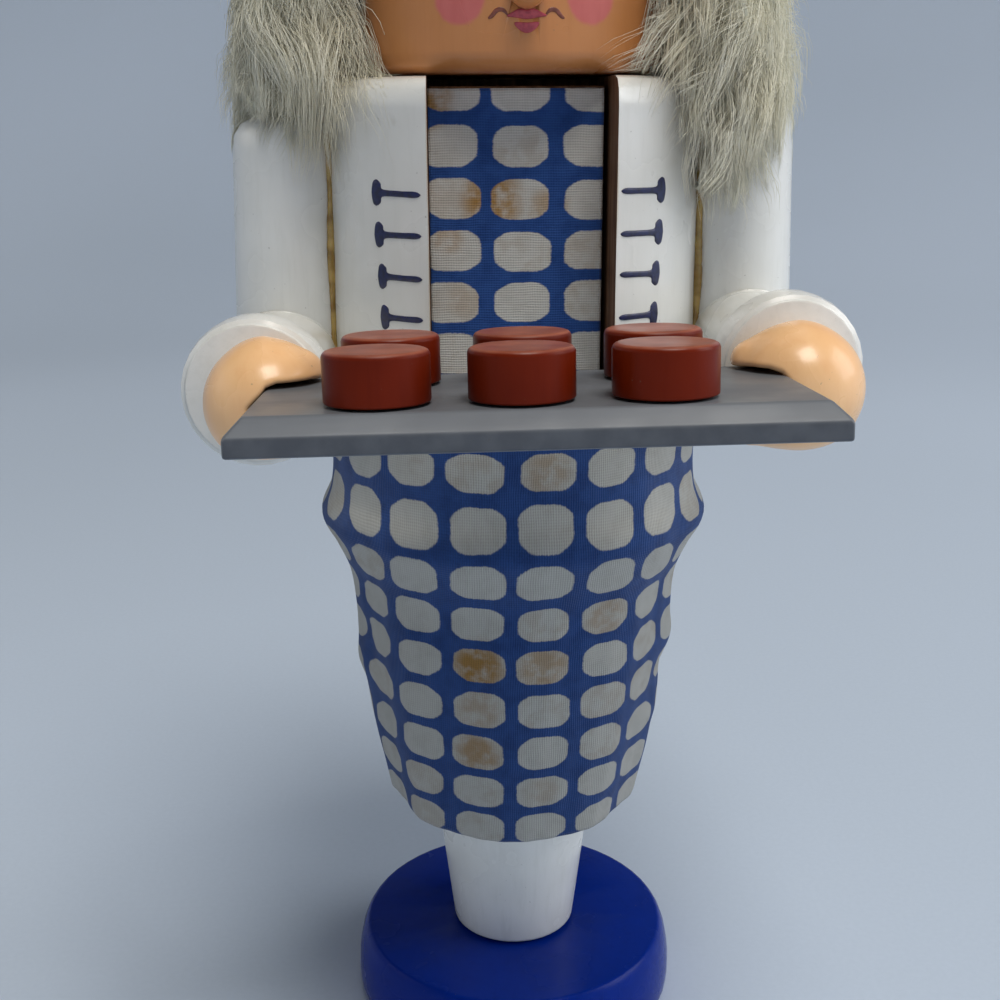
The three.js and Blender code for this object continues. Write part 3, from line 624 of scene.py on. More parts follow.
def hang_cloth(name, points, across, up, material):
    """A sheet of cotton through points. Its UV map, across and up, has its real sizes in metres."""
    mesh, verts = grid_mesh(points)
    place = {}
    for r, row in enumerate(verts):
        for c, vertex in enumerate(row):
            place[vertex] = (across[r, c], up[r, c])
    layer = mesh.loops.layers.uv.new("cloth")
    for polygon in mesh.faces:
        for loop in polygon.loops:
            loop[layer].uv = place[loop.vert]
    cloth = mesh_object(name, mesh, material)
    solid = cloth.modifiers.new("thickness", "SOLIDIFY")
    solid.thickness, solid.offset = CLOTH_THICKNESS, -1
    return cloth


def make_bib():
    """Printed cotton glued flat on the jaw block's front, its cut edges pressed a little back
    against the block.
    """
    low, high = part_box("bib_cloth")
    x, z = np.linspace(low.x - 0.3 * MM, high.x, 60), np.linspace(low.z, high.z, 110)
    across, up = np.meshgrid(x, z)
    swell = 0.05 * MM * np.sin(across * 700) * np.sin(up * 430 + 1)
    rim = np.minimum(high.x - np.abs(across), np.minimum(up - low.z, high.z - up))
    tuck = 0.12 * MM * np.exp(-((rim / (0.4 * MM)) ** 2))
    points = np.stack([across, low.y + 0.08 * MM + swell + tuck, up], -1)
    # The bib's print is set at 1.06 as painted light, brighter than the apron's shaded print.
    printed = cotton("bib_cotton", -4.5 * MM, 1.15 * MM, BIB_STAINS, threads_up=False, painted_light_level=1.06)
    bib = hang_cloth("bib", points, across, up - low.z, printed)
    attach(bib, LEVER)
    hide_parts("bib_cloth")


def smooth_step(value, low, high):
    t = np.clip((value - low) / (high - low), 0, 1)
    return t * t * (3 - 2 * t)


def apron_radius(turn, z):
    """The apron's distance from the figure's middle, with its flare, folds and small buckles."""
    share = np.linspace(0, 1, 5)
    heights = APRON_HEM + (APRON_WAIST - APRON_HEM) * share
    radii = (20.6 + 5.9 * share * (1.6 - 0.6 * share)) * MM
    heights = np.append(heights, TORSO_LOW + np.array([-4, 0.5, 5.5, 17.5]) * MM)
    radii = np.append(radii, TORSO_RADIUS + np.array([0.4, 2.6, 0.8, 0.8]) * MM)
    radius = spline(heights, radii, z)
    free = smooth_step(TORSO_LOW - z, -1 * MM, 12 * MM)
    side = 0.25 + 0.75 * np.sin(turn) ** 2
    fold = np.cos(9 * turn + (TORSO_LOW - z) * 20)
    radius = radius + 0.55 * MM * free * side * fold
    for at, height, wide, tall, deep in APRON_BUCKLES:
        away = np.degrees(turn) - at
        bump = np.exp(-((away / wide) ** 2) - ((z / MM - height) / tall) ** 2)
        radius = radius + deep * MM * bump
    crumple = np.sin(turn * 23 + z * 160) * np.sin(turn * 11 - z * 310 + 1)
    return radius + 0.07 * MM * crumple * (0.4 + free)


def spline(knots, values, at):
    """A smooth curve through the knots, at many places."""
    slopes = np.diff(values) / np.diff(knots)
    tangents = np.concatenate([slopes[:1], (slopes[1:] + slopes[:-1]) / 2, slopes[-1:]])
    i = np.clip(np.searchsorted(knots, at) - 1, 0, len(knots) - 2)
    width = knots[i + 1] - knots[i]
    t = (at - knots[i]) / width
    a, b = values[i], values[i + 1]
    m, n = tangents[i] * width, tangents[i + 1] * width
    return a + t * (m + t * (3 * (b - a) - 2 * m - n + t * (m + n - 2 * (b - a))))


def make_apron():
    """One sheet of printed cotton, wrapped round the torso's lower edge and open behind."""
    columns, rows = 300, 110
    turns = np.linspace(-APRON_TURN, APRON_TURN, columns)
    turn, share = np.meshgrid(turns, np.linspace(0, 1, rows))
    hem = APRON_HEM + 1.6 * MM * (1 - np.cos(turn))
    z = hem + (APRON_TOP - hem) * share
    radius = apron_radius(turn, z) - 0.1 * MM
    points = np.stack([radius * np.sin(turn), -radius * np.cos(turn), z], -1)

    steps = np.linalg.norm(np.diff(points, axis=1), axis=2)
    across = np.concatenate([np.zeros((rows, 1)), np.cumsum(steps, axis=1)], axis=1)
    across -= across[:, columns // 2 - 1 : columns // 2 + 1].mean(axis=1, keepdims=True)
    up = np.interp(z, APRON_HEIGHTS, ROW_PITCH * APRON_ROWS)
    # The apron's print is darkened to 0.62 as painted shade of the tray above it.
    printed = cotton("apron_cotton", -1.6 * MM, 0, APRON_STAINS, threads_up=True, painted_light_level=0.62)
    apron = hang_cloth("apron", points, across, up, printed)
    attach(apron, FIGURE)
    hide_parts("apron_skirt")


# Painted marks

PAINT_THICK, PAINT_SINK = 0.12 * MM, 0.06 * MM
FACE_LINES = (  # name, places at the right of the face's middle, half widths
    (
        "mouth_curl",
        ((2.5, 7.3), (3.2, 8.0), (4, 7.95), (4.7, 7.25), (5.2, 6.95)),
        (0.1, 0.26, 0.3, 0.26, 0.12),
    ),
    (
        "lash",
        ((4.9, 20.3), (5.8, 21.3), (7, 21.6), (8.3, 21), (9, 20.1)),
        (0.1, 0.24, 0.3, 0.26, 0.1),
    ),
    ("brow", ((4, 24.3), (5.6, 25.5), (7.6, 25.9), (9.6, 25.1)), (0.14, 0.36, 0.34, 0.1)),
)


def on_drum(radius, along, z, lift):
    """A place on an upright drum: along is measured round its surface from the front."""
    turn = along / radius
    reach = radius + lift
    return np.stack([reach * np.sin(turn), -reach * np.cos(turn), z], -1)


def stroke(name, radius, path, widths, material, thick=PAINT_THICK):
    """A brush stroke with rounded ends: it follows path, (along, z) points on a drum."""
    path, widths = np.array(path), np.array(widths) * MM
    knots = np.linspace(0, 1, len(path))
    t = np.linspace(0, 1, 12 * (len(path) - 1) + 1)
    line = np.stack([spline(knots, path[:, i], t) for i in range(2)], -1)
    from_end = np.minimum(t, 1 - t) / 0.08
    rounded = np.sqrt(np.clip(1 - (1 - from_end) ** 2, 0.02, 1))
    half = spline(knots, widths, t) * np.where(from_end < 1, rounded, 1)
    tangent = unit(np.gradient(line, axis=0))
    normal = np.stack([-tangent[:, 1], tangent[:, 0]], -1)
    turn = np.linspace(0, 2 * math.pi, 14, endpoint=False)
    rings = []
    for centre, side, width in zip(line, normal, half):
        place = centre + np.cos(turn)[:, None] * side * width
        rise = np.sin(turn) * thick * min(1, width / (0.25 * MM))
        rise = np.where(np.sin(turn) > 0, rise, -PAINT_SINK)
        rings.append(on_drum(radius, place[:, 0], place[:, 1], rise))
    capped_tube(name, rings, material)


def patch(name, outline, centre, material, thick=PAINT_THICK, lift=0.0):
    """A blob of paint with a rounded edge: outline holds (along, z) points on the head."""
    points = np.array(outline)
    for _ in range(3):
        following = np.roll(points, -1, axis=0)
        points = np.stack([points * 0.75 + following * 0.25, points * 0.25 + following * 0.75], 1)
        points = points.reshape(-1, 2)
    sizes = (1, 1, 0.93, 0.75, 0.35)
    rises = (-PAINT_SINK, 0.4 * thick, 0.8 * thick, thick, thick)
    rings = []
    for size, rise in zip(sizes, rises):
        place = centre + (points - centre) * size
        rings.append(on_drum(HEAD_RADIUS, place[:, 0], place[:, 1], lift + rise))
    capped_tube(name, rings, material)


def make_frogs():
    """Four frog closures each side of the jaw slot: a bulb with a bar that points to the slot."""
    navy = paint("navy_paint", 0x10184E, 0x0B1038)
    rng = np.random.default_rng(4)
    for word, side in SIDES.items():
        for number in range(4):
            z = TORSO_LOW + 51.7 * MM - 5.75 * MM * number
            outer = side * (22.75 - 0.35 * number + rng.uniform(-0.15, 0.15)) * MM
            inner = side * 14.3 * MM
            tilt = (rng.uniform(-0.1, 0.35) if side < 0 else -rng.uniform(-0.1, 0.4)) * MM
            shares = (0, 0.1, 0.2, 0.25, 0.6, 1)
            path = [(outer + (inner - outer) * s, z - tilt * s * 1.2) for s in shares]
            widths = (1.45, 1.8, 1.35, 0.52, 0.42, 0.46)
            stroke(f"frog_{word}_{number + 1}", TORSO_RADIUS, path, widths, navy)


def on_face(places, side=1):
    """Places in millimetres from the face's middle and the head's foot, as points on the head."""
    return np.array([(FACE_TURN + side * x * MM, HEAD_LOW + z * MM) for x, z in places])


def dot(name, x, z, half_wide, half_tall, count, *settings):
    """A round blob of paint on the face."""
    turns = np.linspace(0, 2 * math.pi, count, endpoint=False)
    outline = [(x + half_wide * math.cos(t), z + half_tall * math.sin(t)) for t in turns]
    patch(name, on_face(outline), on_face([(x, z)]), *settings)


def make_face():
    """Lips with a bow and two fine curls, dot eyes with lashes, and thin brows."""
    red = paint("lip_paint", 0xC4505A, 0xA93A48)
    brown = paint("brow_paint", 0x8A4A38, 0x6F3A2C)
    black = paint("eye_paint", 0x1A1B22, 0x0F1016)
    white = paint("glint_paint", 0xF2F2F0, 0xE6E6E2)
    bow = ((-3, 7.15), (-1.9, 7.75), (-0.9, 8.25), (0, 7.95), (0.9, 8.25), (1.9, 7.75), (3, 7.25))
    upper = (*bow, (1.6, 7.05), (0, 6.75), (-1.6, 7.05))
    lower = ((-1.9, 6.55), (0, 6.35), (1.9, 6.6), (1.3, 5.6), (0, 4.9), (-1.3, 5.6))
    patch("lip_upper", on_face(upper), on_face([(0, 7.4)]), red)
    patch("lip_lower", on_face(lower), on_face([(0, 5.95)]), red)
    for word, side in SIDES.items():
        for name, places, widths in FACE_LINES:
            path = on_face(places, side)
            stroke(f"{name}_{word}", HEAD_RADIUS, path, widths, brown, 0.08 * MM)
        dot(f"eye_{word}", side * 6.6, 19.2, 1.15, 1.55, 12, black)
        dot(f"glint_{word}", side * 6.6 - 0.35, 19.8, 0.32, 0.36, 8, white, 0.05 * MM, 0.1 * MM)


# Glue in the creases beside the arms

def meeting(radius_a, centre, radius_b):
    """The front crossing of a circle round the figure's middle and a circle round centre."""
    distance = math.hypot(*centre)
    along = (radius_a**2 - radius_b**2 + distance**2) / (2 * distance)
    aside = math.sqrt(max(radius_a**2 - along**2, 0))
    ux, uy = centre[0] / distance, centre[1] / distance
    points = [(along * ux - s * aside * uy, along * uy + s * aside * ux) for s in (-1, 1)]
    return min(points, key=lambda p: p[1])


def arm_middle(word, z):
    """Where an upper arm's middle line is at a height; the arm leans inwards."""
    x = SIDES[word] * (ARM_X - (z - ELBOW[word]) * math.tan(ARM_LEAN))
    return np.stack([x, ARM_Y + 0 * x], -1)


def bead(name, line, thick, across, material):
    """A round bead along a line of places; across is a direction that the line never takes."""
    tangent = unit(np.gradient(line, axis=0))
    side = unit(np.cross(tangent, across))
    other = np.cross(tangent, side)
    turn = np.linspace(0, 2 * math.pi, 12, endpoint=False)[None, :, None]
    ring = np.cos(turn) * side[:, None] + np.sin(turn) * other[:, None]
    capped_tube(name, line[:, None] + np.reshape(thick, (-1, 1, 1)) * ring, material)


def make_glue():
    """Hide glue that was squeezed out of the creases beside the upper arms."""
    amber = hide_glue()
    rng = np.random.default_rng(8)
    count = 60
    for word, side in SIDES.items():
        low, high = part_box(f"upper_arm_{word}")
        heights = np.linspace(low.z + 9 * MM, high.z - 2.5 * MM, count)
        wander = np.cumsum(rng.normal(0, 0.05, count))
        wander -= np.linspace(wander[0], wander[-1], count)
        thick = np.clip(0.55 + 0.1 * np.sin(heights * 400 + side) + 0.4 * wander, 0.4, 0.75) * MM
        line = []
        for z, t, arm in zip(heights, thick, arm_middle(word, heights)):
            line.append((*meeting(TORSO_RADIUS + t * 0.55, arm, ARM_RADIUS + t * 0.55), z))
        bead(f"glue_{word}", np.array(line), thick, (1, 0, 0), amber)


def arm_place(word):
    """Brings an arm that points straight ahead, with its elbow at the origin, to its place."""
    side = SIDES[word]
    lean = Matrix.Rotation(-side * ARM_LEAN, 4, "Y")
    splay = Matrix.Rotation(side * ARM_SPLAY, 4, "Z")
    return Matrix.Translation((side * ARM_X, ARM_Y, ELBOW[word])) @ lean @ splay


def make_elbows():
    """Lacquer that fills the mitre between an upper arm and its forearm."""
    white = nodes["torso"].data.materials[0]
    for word, side in SIDES.items():
        turn = np.linspace(0, 2 * math.pi, 121) + (math.pi if side > 0 else 0)
        reach = ARM_RADIUS - 0.1 * MM
        ring = np.stack([reach * np.cos(turn), reach * np.sin(turn), -reach * np.sin(turn)], -1)
        place = np.array(arm_place(word))
        ring = ring @ place[:3, :3].T + place[:3, 3]
        ring = ring[np.hypot(ring[:, 0], ring[:, 1]) > TORSO_RADIUS + 0.25 * MM]
        bead(f"elbow_{word}", ring, np.full(len(ring), 0.26 * MM), (0, 0.7, 0.7), white)


def make_cuffs():
    """Lacquer that has run together in the hollow of each cuff."""
    white = nodes["forearm_left"].data.materials[0]
    radius = np.array([9.5, 9.1, 8.6, 7.8, 6.5, 4.6, 3.2, 3.2, 7.9, 8.9])[:, None] * MM
    depth = np.array([-0.06, 0.02, 0.1, 0.26, 0.6, 1.1, 1.2, -2.4, -2.4, -0.9])[:, None] * MM
    turn = np.linspace(0, 2 * math.pi, 72, endpoint=False)
    rings = np.stack([radius * np.cos(turn), -depth + 0 * turn, radius * np.sin(turn)], -1)
    for word in SIDES:
        mesh, _ = grid_mesh(np.append(rings, rings[:1], axis=0), closed=True)
        bmesh.ops.remove_doubles(mesh, verts=mesh.verts, dist=0.001 * MM)
        bmesh.ops.recalc_face_normals(mesh, faces=mesh.faces)
        mesh.transform(arm_place(word) @ Matrix.Translation((0, -ARM_LENGTH, 0)))
        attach(mesh_object(f"cuff_hollow_{word}", mesh, white), FIGURE)


# Hands

HAND_RADIUS = {"left": 8.2, "right": 8.6}  # in millimetres, as are all lengths of the hands' form
HAND_MIDDLE = {"left": (-33.35, -6.1, -2.25), "right": (35.75, -6.1, -2.25)}
TRAY_END = {"left": -1.3, "right": 1.6}  # inwards from the middle of the hand
DIGIT_END = {"left": 6.9, "right": 8.5}
HAND_LOW = {"left": -7.4, "right": -8.8}
TRAY_PITCH = math.radians(3.6)


def carried_place():
    """Brings a tray with the middle of its top back edge at the origin to its place."""
    middle = Vector((-0.4 * MM, -34.9 * MM, TORSO_LOW + 29.25 * MM))
    return Matrix.Translation(middle) @ Matrix.Rotation(math.radians(-0.89), 4, "Y")


def blend_max(a, b, soft):
    """The greater of two distances, with the corner between them rounded."""
    near = np.maximum(soft - np.abs(a - b), 0) / soft
    return np.maximum(a, b) + near * near * soft / 4


def digit(points, start, end, start_radius, end_radius):
    """Distance from a rounded, tapering digit."""
    start, span = np.array(start), np.subtract(end, start)
    along = np.clip((points - start) @ span / (span @ span), 0, 1)
    nearest = start + along[..., None] * span
    radius = start_radius + along * (end_radius - start_radius)
    return np.linalg.norm(points - nearest, axis=-1) - radius


def hand_distance(points, word):
    """How far points lie outside a hand; they run inwards, forwards and up from its middle."""
    inward, forward, up = (points[..., i] for i in range(3))
    ball = np.linalg.norm(points, axis=-1) - HAND_RADIUS[word]
    board = -HAND_MIDDLE[word][2] + (forward + 6.1) * math.tan(TRAY_PITCH)
    end, reach = TRAY_END[word], DIGIT_END[word]
    thumb = digit(points, (0, -1, 3.7), (reach - 2.1, -1.5, 3.8), 4.2, 2.1)
    palm = -blend_max(-ball, -thumb, 2.0)
    fingers = digit(points, (0.5, 0, -4.2), (reach - 2.6, 0, -5.2), 4.2, 2.6)
    palm = -blend_max(-palm, -fingers, 1.5)
    palm = blend_max(palm, HAND_LOW[word] - up, 3.0)
    tenon = np.maximum(np.hypot(inward, up) - 3.6, np.maximum(forward, -14.5 - forward))
    lip = np.clip((forward + 5) * 0.09, 0, 0.7) * np.clip((inward - end - 1.4) / 2, 0, 1)
    top = board + lip - np.maximum(2.1 + end - inward, 0)
    slot = np.maximum.reduce([end - inward, up - top, board - 4.4 - up, -6.1 - forward])
    return blend_max(np.minimum(palm, tenon), -slot, 0.9)


def skin_over(distance, low, high, step):
    """Vertices and quads over the surface where distance, a function of places, is zero."""
    axes = [np.arange(a, b, step) for a, b in zip(low, high)]
    grid = np.stack(np.meshgrid(*axes, indexing="ij"), -1)
    value = distance(grid)
    shape = np.array(value.shape)
    total, hits = np.zeros((*(shape - 1), 3)), np.zeros(shape - 1)
    crossings = []
    for axis in range(3):
        first = tuple(slice(0, -1) if k == axis else slice(None) for k in range(3))
        second = tuple(slice(1, None) if k == axis else slice(None) for k in range(3))
        a, b = value[first], value[second]
        crossed = (a < 0) != (b < 0)
        share = np.where(crossed, a / np.where(crossed, a - b, 1), 0)
        place = grid[first] + share[..., None] * np.eye(3)[axis] * step
        others = [k for k in range(3) if k != axis]
        for shift in ((0, 0), (0, 1), (1, 0), (1, 1)):
            part = [slice(None)] * 3
            for k, s in zip(others, shift):
                part[k] = slice(s, s + shape[k] - 1)
            part = tuple(part)
            total += np.where(crossed[part][..., None], place[part], 0)
            hits += crossed[part]
        crossings.append((axis, others, np.argwhere(crossed), a))
    number = np.cumsum(hits.ravel() > 0).reshape(hits.shape) - 1
    verts = total[hits > 0] / hits[hits > 0][:, None]
    quads = []
    for axis, others, where, a in crossings:
        corners = []
        for shift in ((0, 0), (1, 0), (1, 1), (0, 1)):
            cell = where.copy()
            for k, s in zip(others, shift):
                cell[:, k] -= s
            corners.append(number[tuple(cell.T)])
        quad = np.stack(corners, 1)
        outward = (a[tuple(where.T)] < 0) == (axis != 1)
        quads.append(np.where(outward[:, None], quad, quad[:, ::-1]))
    return verts, np.concatenate(quads)


def make_hands():
    """Turned hands under thick lacquer, each worked down to a thumb over the tray."""
    material = lacquer("skin_lacquer", 0xFFCC95, 0xF5BA83, roughness=0.28, coat=0.2)
    low, high, fineness = (-9, -15, -10.5), (11, 9, 9), 0.27
    for word, side in SIDES.items():
        verts, quads = skin_over(lambda at: hand_distance(at, word), low, high, fineness)
        for _ in range(2):
            steps = np.eye(3) * 0.02
            slope = [hand_distance(verts + s, word) - hand_distance(verts - s, word) for s in steps]
            verts = verts - unit(np.stack(slope, -1)) * hand_distance(verts, word)[:, None]
        verts = verts * (-side, -1, 1) + HAND_MIDDLE[word]
        data = bpy.data.meshes.new(f"hand_{word}_lacquered")
        data.from_pydata(verts * MM, [], quads[:, ::side].tolist())
        data.transform(carried_place())
        hand = smooth_object(f"hand_{word}_lacquered", data, material)
        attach(hand, FIGURE)
        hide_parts(f"hand_{word}")


# Fur

HAIR_SETBACK, HAIR_DEPTH = 2.5 * MM, 0.86  # the hair mass is an oval, set back on the head
FRONT_EXTRA = {"left": 15, "right": 9, "back": 0}  # longer strands at the front, in millimetres
HAIR_FRINGE = {  # where the front tips end: distance from the middle, and height
    "left": ((20.1, 153.6), (25, 137.5), (28.5, 139.7), (32.5, 146.8), (38.6, 151.6), (41, 153)),
    "right": ((20.7, 154.6), (26.9, 142), (33.7, 137.6), (39.8, 148.9), (41.8, 153.1)),
}


def push_out(points, centre, radius, edge, top, margin):
    """Moves points that lie in an upright bar, whose top edge is rounded, out to its surface."""
    off = points[:, :2] - np.array(centre)
    reach = np.maximum(np.hypot(off[:, 0], off[:, 1]), 1e-9)
    aside, above = reach - (radius - edge), points[:, 2] - (top - edge)
    both = np.hypot(aside, above) + 1e-12
    corner = (aside > 0) & (above > 0)
    outward = np.where(corner, aside / both, np.where(aside > above, 1.0, 0.0))
    upward = np.where(corner, above / both, np.where(aside > above, 0.0, 1.0))
    depth = np.maximum(margin + edge - np.where(corner, both, np.maximum(aside, above)), 0)
    points[:, :2] += off / reach[:, None] * (outward * depth)[:, None]
    points[:, 2] += upward * depth


def clear_of_figure(points, margin):
    """Keeps fur out of the head, the torso and the shoulders."""
    head = points[:, 2] > TORSO_HIGH
    beside = points[head]
    push_out(beside, (0, 0), HEAD_RADIUS, 0, HEAD_HIGH + 0.1, margin)
    points[head] = beside
    push_out(points, (0, 0), TORSO_RADIUS, TORSO_EDGE, TORSO_HIGH, margin)
    for word in SIDES:
        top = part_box(f"upper_arm_{word}")[1].z
        push_out(points, arm_middle(word, points[:, 2]), ARM_RADIUS, 4 * MM, top, margin)


def oval(points):
    """(turn from the front in degrees, distance from the middle) in the hair mass's oval."""
    x, y = points[:, 0], (points[:, 1] - HAIR_SETBACK) / HAIR_DEPTH
    return np.degrees(np.arctan2(x, -y)), np.hypot(x, y)


def hair_limit(z):
    """The hair mass's outer distance at each height; it hangs straight below its widest."""
    heights = np.array([100, 152.9, 160, 166, 172, 178, 184, 189, 193, 197.4, 210]) * MM
    radii = np.array([41, 41, 40.6, 39.8, 38.6, 37, 35, 33, 31, 27.5, 24]) * MM
    return np.interp(z, heights, radii)


def underfur(word, material):
    """The dense fur under the strands: the lock's solid, softened and drawn in."""
    piece = link(f"underfur_{word}", nodes[f"hair_{word}"].data.copy())
    weld(piece)
    remesh = piece.modifiers.new("remesh", "REMESH")
    remesh.mode, remesh.voxel_size, remesh.use_smooth_shade = "VOXEL", 0.9 * MM, True
    soften = piece.modifiers.new("soften", "SMOOTH")
    soften.factor, soften.iterations = 0.5, 10
    graph = bpy.context.evaluated_depsgraph_get()
    mesh = bpy.data.meshes.new_from_object(piece.evaluated_get(graph))
    piece.modifiers.clear()
    piece.data = mesh
    mesh.materials.clear()
    mesh.materials.append(material)
    mesh.shade_smooth()

    points = coordinates(mesh)
    normals = np.empty(points.size)
    mesh.vertex_normals.foreach_get("vector", normals)
    rough = np.array([noise.noise(Vector((x * 330, y * 330, z * 130))) for x, y, z in points])
    hem = smooth_step(158 * MM - points[:, 2], 0, 10 * MM)
    points -= normals.reshape(-1, 3) * ((0.2 - 1.6 * rough + 1.5 * hem) * MM)[:, None]
    clear_of_figure(points, 0.15 * MM)
    mesh.vertices.foreach_set("co", points.ravel())
    mesh.update()
    return piece


def scatter(rng, mesh, count):
    """Random places on a mesh, evenly spread, with their normals."""
    mesh.calc_loop_triangles()
    triangles = mesh.loop_triangles
    corners, areas = np.empty(len(triangles) * 3, int), np.empty(len(triangles))
    triangles.foreach_get("vertices", corners)
    triangles.foreach_get("area", areas)
    corners = corners.reshape(-1, 3)
    points = coordinates(mesh)
    chosen = rng.choice(len(areas), count, p=areas / areas.sum())
    a, b = rng.random(count), rng.random(count)
    flip = a + b > 1
    a, b = np.where(flip, 1 - a, a)[:, None], np.where(flip, 1 - b, b)[:, None]
    p, q, r = (points[corners[chosen, i]] for i in range(3))
    return p + (q - p) * a + (r - p) * b, unit(np.cross(q - p, r - p))


def from_axis(points):
    """Level directions away from the hair mass's middle."""
    return unit(points * (1, 1, 0) - np.array((0, HAIR_SETBACK, 0)))


def fringe_floor(word, points, low):
    """How low the tips may hang at each place."""
    behind = np.full(len(points), low + 1.2 * MM)
    if word == "back":
        return behind
    marks = np.array(HAIR_FRINGE[word]) * MM
    front = np.interp(np.abs(points[:, 0]), marks[:, 0], marks[:, 1])
    share = smooth_step(points[:, 1], -7 * MM, 1 * MM)
    return front + (behind - front) * share


def grow(rng, word, roots, normals, lengths, lift, low, wild, steps):
    """Paths of fur strands in clumps. They leave the skin at a slant, bend down and lie on what is
    below. The wilder they are, the more their clumps stand off and fan out."""
    radial = from_axis(roots)
    crown = smooth_step(roots[:, 2], 183 * MM, 196 * MM)[:, None]
    want = np.array((0, 0, -1.0)) + radial * (0.15 + 1.1 * crown)
    forward = np.where(np.abs(roots[:, 0]) > 15 * MM, smooth_step(-roots[:, 1], 0, 12 * MM), 0)
    want = want + np.array((0, -0.12, 0)) * forward[:, None]
    want -= normals * (want * normals).sum(axis=1, keepdims=True)
    stray = rng.normal(0, 0.12 + 0.3 * wild, roots.shape)
    heading = unit(unit(want) + normals * lift[:, None] + stray)

    clumps = rng.choice(len(roots), len(roots) // 16, replace=False)
    own = np.linalg.norm(roots[:, None] - roots[clumps][None], axis=2).argmin(axis=1)
    each = len(clumps)
    heading = unit(heading + rng.normal(0, 0.32 + 0.35 * wild, (each, 3))[own] * (1, 1, 0.5))
    slack = (rng.uniform(-1.2, 1.6, each)[own] + wild * rng.uniform(0, 4, len(roots))) * MM
    fringe = fringe_floor(word, roots, low) + rng.uniform(-0.5, 3.2, each)[own] * MM
    fringe = fringe + rng.uniform(-0.8, 1.2, len(roots)) * MM
    crease = (np.abs(np.abs(roots[:, 0]) - 27 * MM) < 5 * MM) & (roots[:, 1] < -4 * MM)
    fringe -= np.where(crease & (rng.random(each)[own] < 0.3), rng.uniform(2, 8, each)[own], 0) * MM
    room = np.maximum(roots[:, 2] - fringe, 2 * MM)
    lengths = np.minimum(lengths, room * 1.12)

    place = roots.copy()
    paths = [place.copy()]
    fall = 1 - 0.55 * wild
    phase, pace, curl, weight = (
        rng.uniform(a, b, each)[own]
        for a, b in ((0, 6.28), (0.7, 1.9), (0.08, 0.42), (0.16 * fall, 0.4 * fall))
    )
    for step in range(1, steps + 1):
        heading = unit(heading - np.array((0, 0, 1)) * weight[:, None])
        across = unit(np.cross(heading, radial))
        wave = across * (curl * np.sin(phase + pace * step))[:, None]
        place = place + unit(heading + wave) * (lengths / steps)[:, None]
        _, reach = oval(place)
        shrink = np.minimum((hair_limit(place[:, 2]) + slack) / np.maximum(reach, 1e-6), 1)
        place[:, 0] *= shrink
        place[:, 1] = (place[:, 1] - HAIR_SETBACK) * shrink + HAIR_SETBACK
        clear_of_figure(place, 0.25 * MM)
        paths.append(place.copy())
    paths = np.stack(paths, 1)

    pull = (0.72 - 0.3 * wild) * (np.arange(steps + 1) / steps)[None, :, None] ** 1.3
    paths = paths + (paths[clumps][own] - paths) * pull
    for step in range(1, steps + 1):
        place = paths[:, step].copy()
        clear_of_figure(place, 0.2 * MM)
        paths[:, step] = place
    return paths, own


def strand_mesh(name, paths, radii, tones, material):
    """Tapered, three-sided tubes along paths, pointed at their tips."""
    count, marks = paths.shape[:2]
    rings = marks - 1
    tangent = unit(np.gradient(paths, axis=1))
    side = unit(np.cross(tangent, np.array((0.3, 0.5, 0.81))))[:, :rings]
    other = np.cross(tangent[:, :rings], side)
    share = np.arange(rings) / rings
    thick = (radii[:, None] * (1 - 0.75 * share**2))[..., None]
    corners = []
    for turn in (0, 2 * math.pi / 3, 4 * math.pi / 3):
        corners.append(paths[:, :rings] + (side * math.cos(turn) + other * math.sin(turn)) * thick)
    verts = np.stack(corners, 2).reshape(count, rings * 3, 3)
    verts = np.concatenate([verts, paths[:, -1:]], axis=1)
    each = rings * 3 + 1
    faces = [(2, 1, 0)]
    for low in range(0, rings * 3, 3):
        for c, n in ((0, 1), (1, 2), (2, 0)):
            if low < rings * 3 - 3:
                faces += [(low + c, low + n, low + n + 3), (low + c, low + n + 3, low + c + 3)]
            else:
                faces.append((low + c, low + n, each - 1))
    triangles = np.array(faces)[None] + (np.arange(count) * each)[:, None, None]

    data = bpy.data.meshes.new(name)
    data.from_pydata(verts.reshape(-1, 3), [], triangles.reshape(-1, 3).tolist())
    along = np.append(np.repeat(share, 3), 1.0)
    for key, values in (("tone", np.repeat(tones, each)), ("along", np.tile(along, count))):
        layer = data.attributes.new(key, "FLOAT", "POINT")
        layer.data.foreach_set("value", values.astype(np.float32))
    return smooth_object(name, data, material)


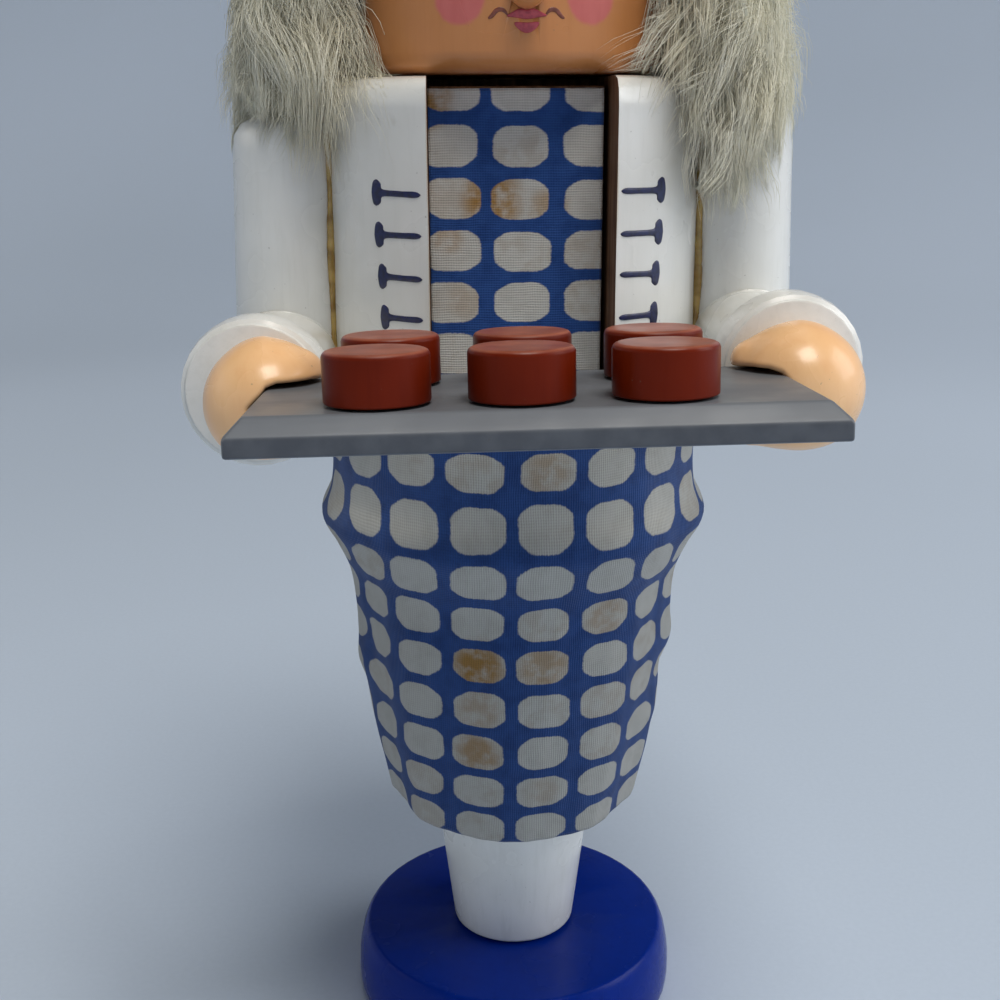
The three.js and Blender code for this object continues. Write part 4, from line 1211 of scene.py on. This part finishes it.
STRANDS = (  # kind, most strands, lengths, lean, radii, wildness, steps
    ("fur", 2600, (11, 20), (0.2, 0.7), (0.035, 0.07), 0.1, 6),
    ("tufts", 4200, (6, 14), (0.5, 1.2), (0.03, 0.06), 0.5, 5),
    ("fluff", 6000, (4, 11), (0.6, 1.7), (0.02, 0.04), 1.0, 4),
    ("locks", 1900, (9, 17), (0.7, 1.5), (0.03, 0.06), 0.25, 6),
)


def make_fur():
    """Long silver-grey fur: an underfur pad for each lock, with clumps, tufts and fine fluff."""
    strands_look, pad_look = fur_strands(), fur_depth()
    rng = np.random.default_rng(21)
    for word in ("left", "right", "back"):
        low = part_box(f"hair_{word}")[0].z
        pad = underfur(word, pad_look)
        made = [pad]
        for kind, most, longest, lean, thick, wild, steps in STRANDS:
            if kind == "locks" and word == "back":
                continue
            roots, normals = scatter(rng, pad.data, (12 if kind == "locks" else 3) * most)
            _, reach = oval(roots)
            outward = (from_axis(roots) * normals).sum(axis=1)
            resting = (normals[:, 2] < -0.5) & (roots[:, 2] < 159 * MM) & (roots[:, 1] > -8 * MM)
            keep = (outward > -0.3) & ~resting & (reach > HEAD_RADIUS + 1.5 * MM)
            if kind == "locks":
                keep = (normals[:, 1] < -0.35) & (roots[:, 2] < 168 * MM)
            roots, normals = roots[keep][:most], normals[keep][:most]
            count = len(roots)
            front = smooth_step(-normals[:, 1], 0.3, 0.8)
            front = front * smooth_step(178 * MM - roots[:, 2], 0, 12 * MM)
            front = front * (word != "back") * rng.uniform(0.2, 1, count)
            lift = rng.uniform(*lean, count) + 1.1 * front
            lengths = (rng.uniform(*longest, count) + FRONT_EXTRA[word] * front) * MM
            paths, own = grow(rng, word, roots, normals, lengths, lift, low, wild, steps)
            clump_tone = rng.uniform(0, 1, own.max() + 1)[own]
            tones = np.clip(0.5 * clump_tone + 0.5 * rng.random(count) + 0.15 * wild, 0, 1)
            radii = rng.uniform(*thick, count) * MM
            made.append(strand_mesh(f"{kind}_{word}", paths, radii, tones, strands_look))
        for piece in made:
            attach(piece, FIGURE)
        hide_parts(f"hair_{word}")


# The whole figure

bpy.context.scene.view_settings.view_transform = "Standard"
place_camera()
finish_stage()
finish_nodes()
make_hands()
make_bib()
make_apron()
make_frogs()
make_face()
make_glue()
make_elbows()
make_cuffs()
make_fur()
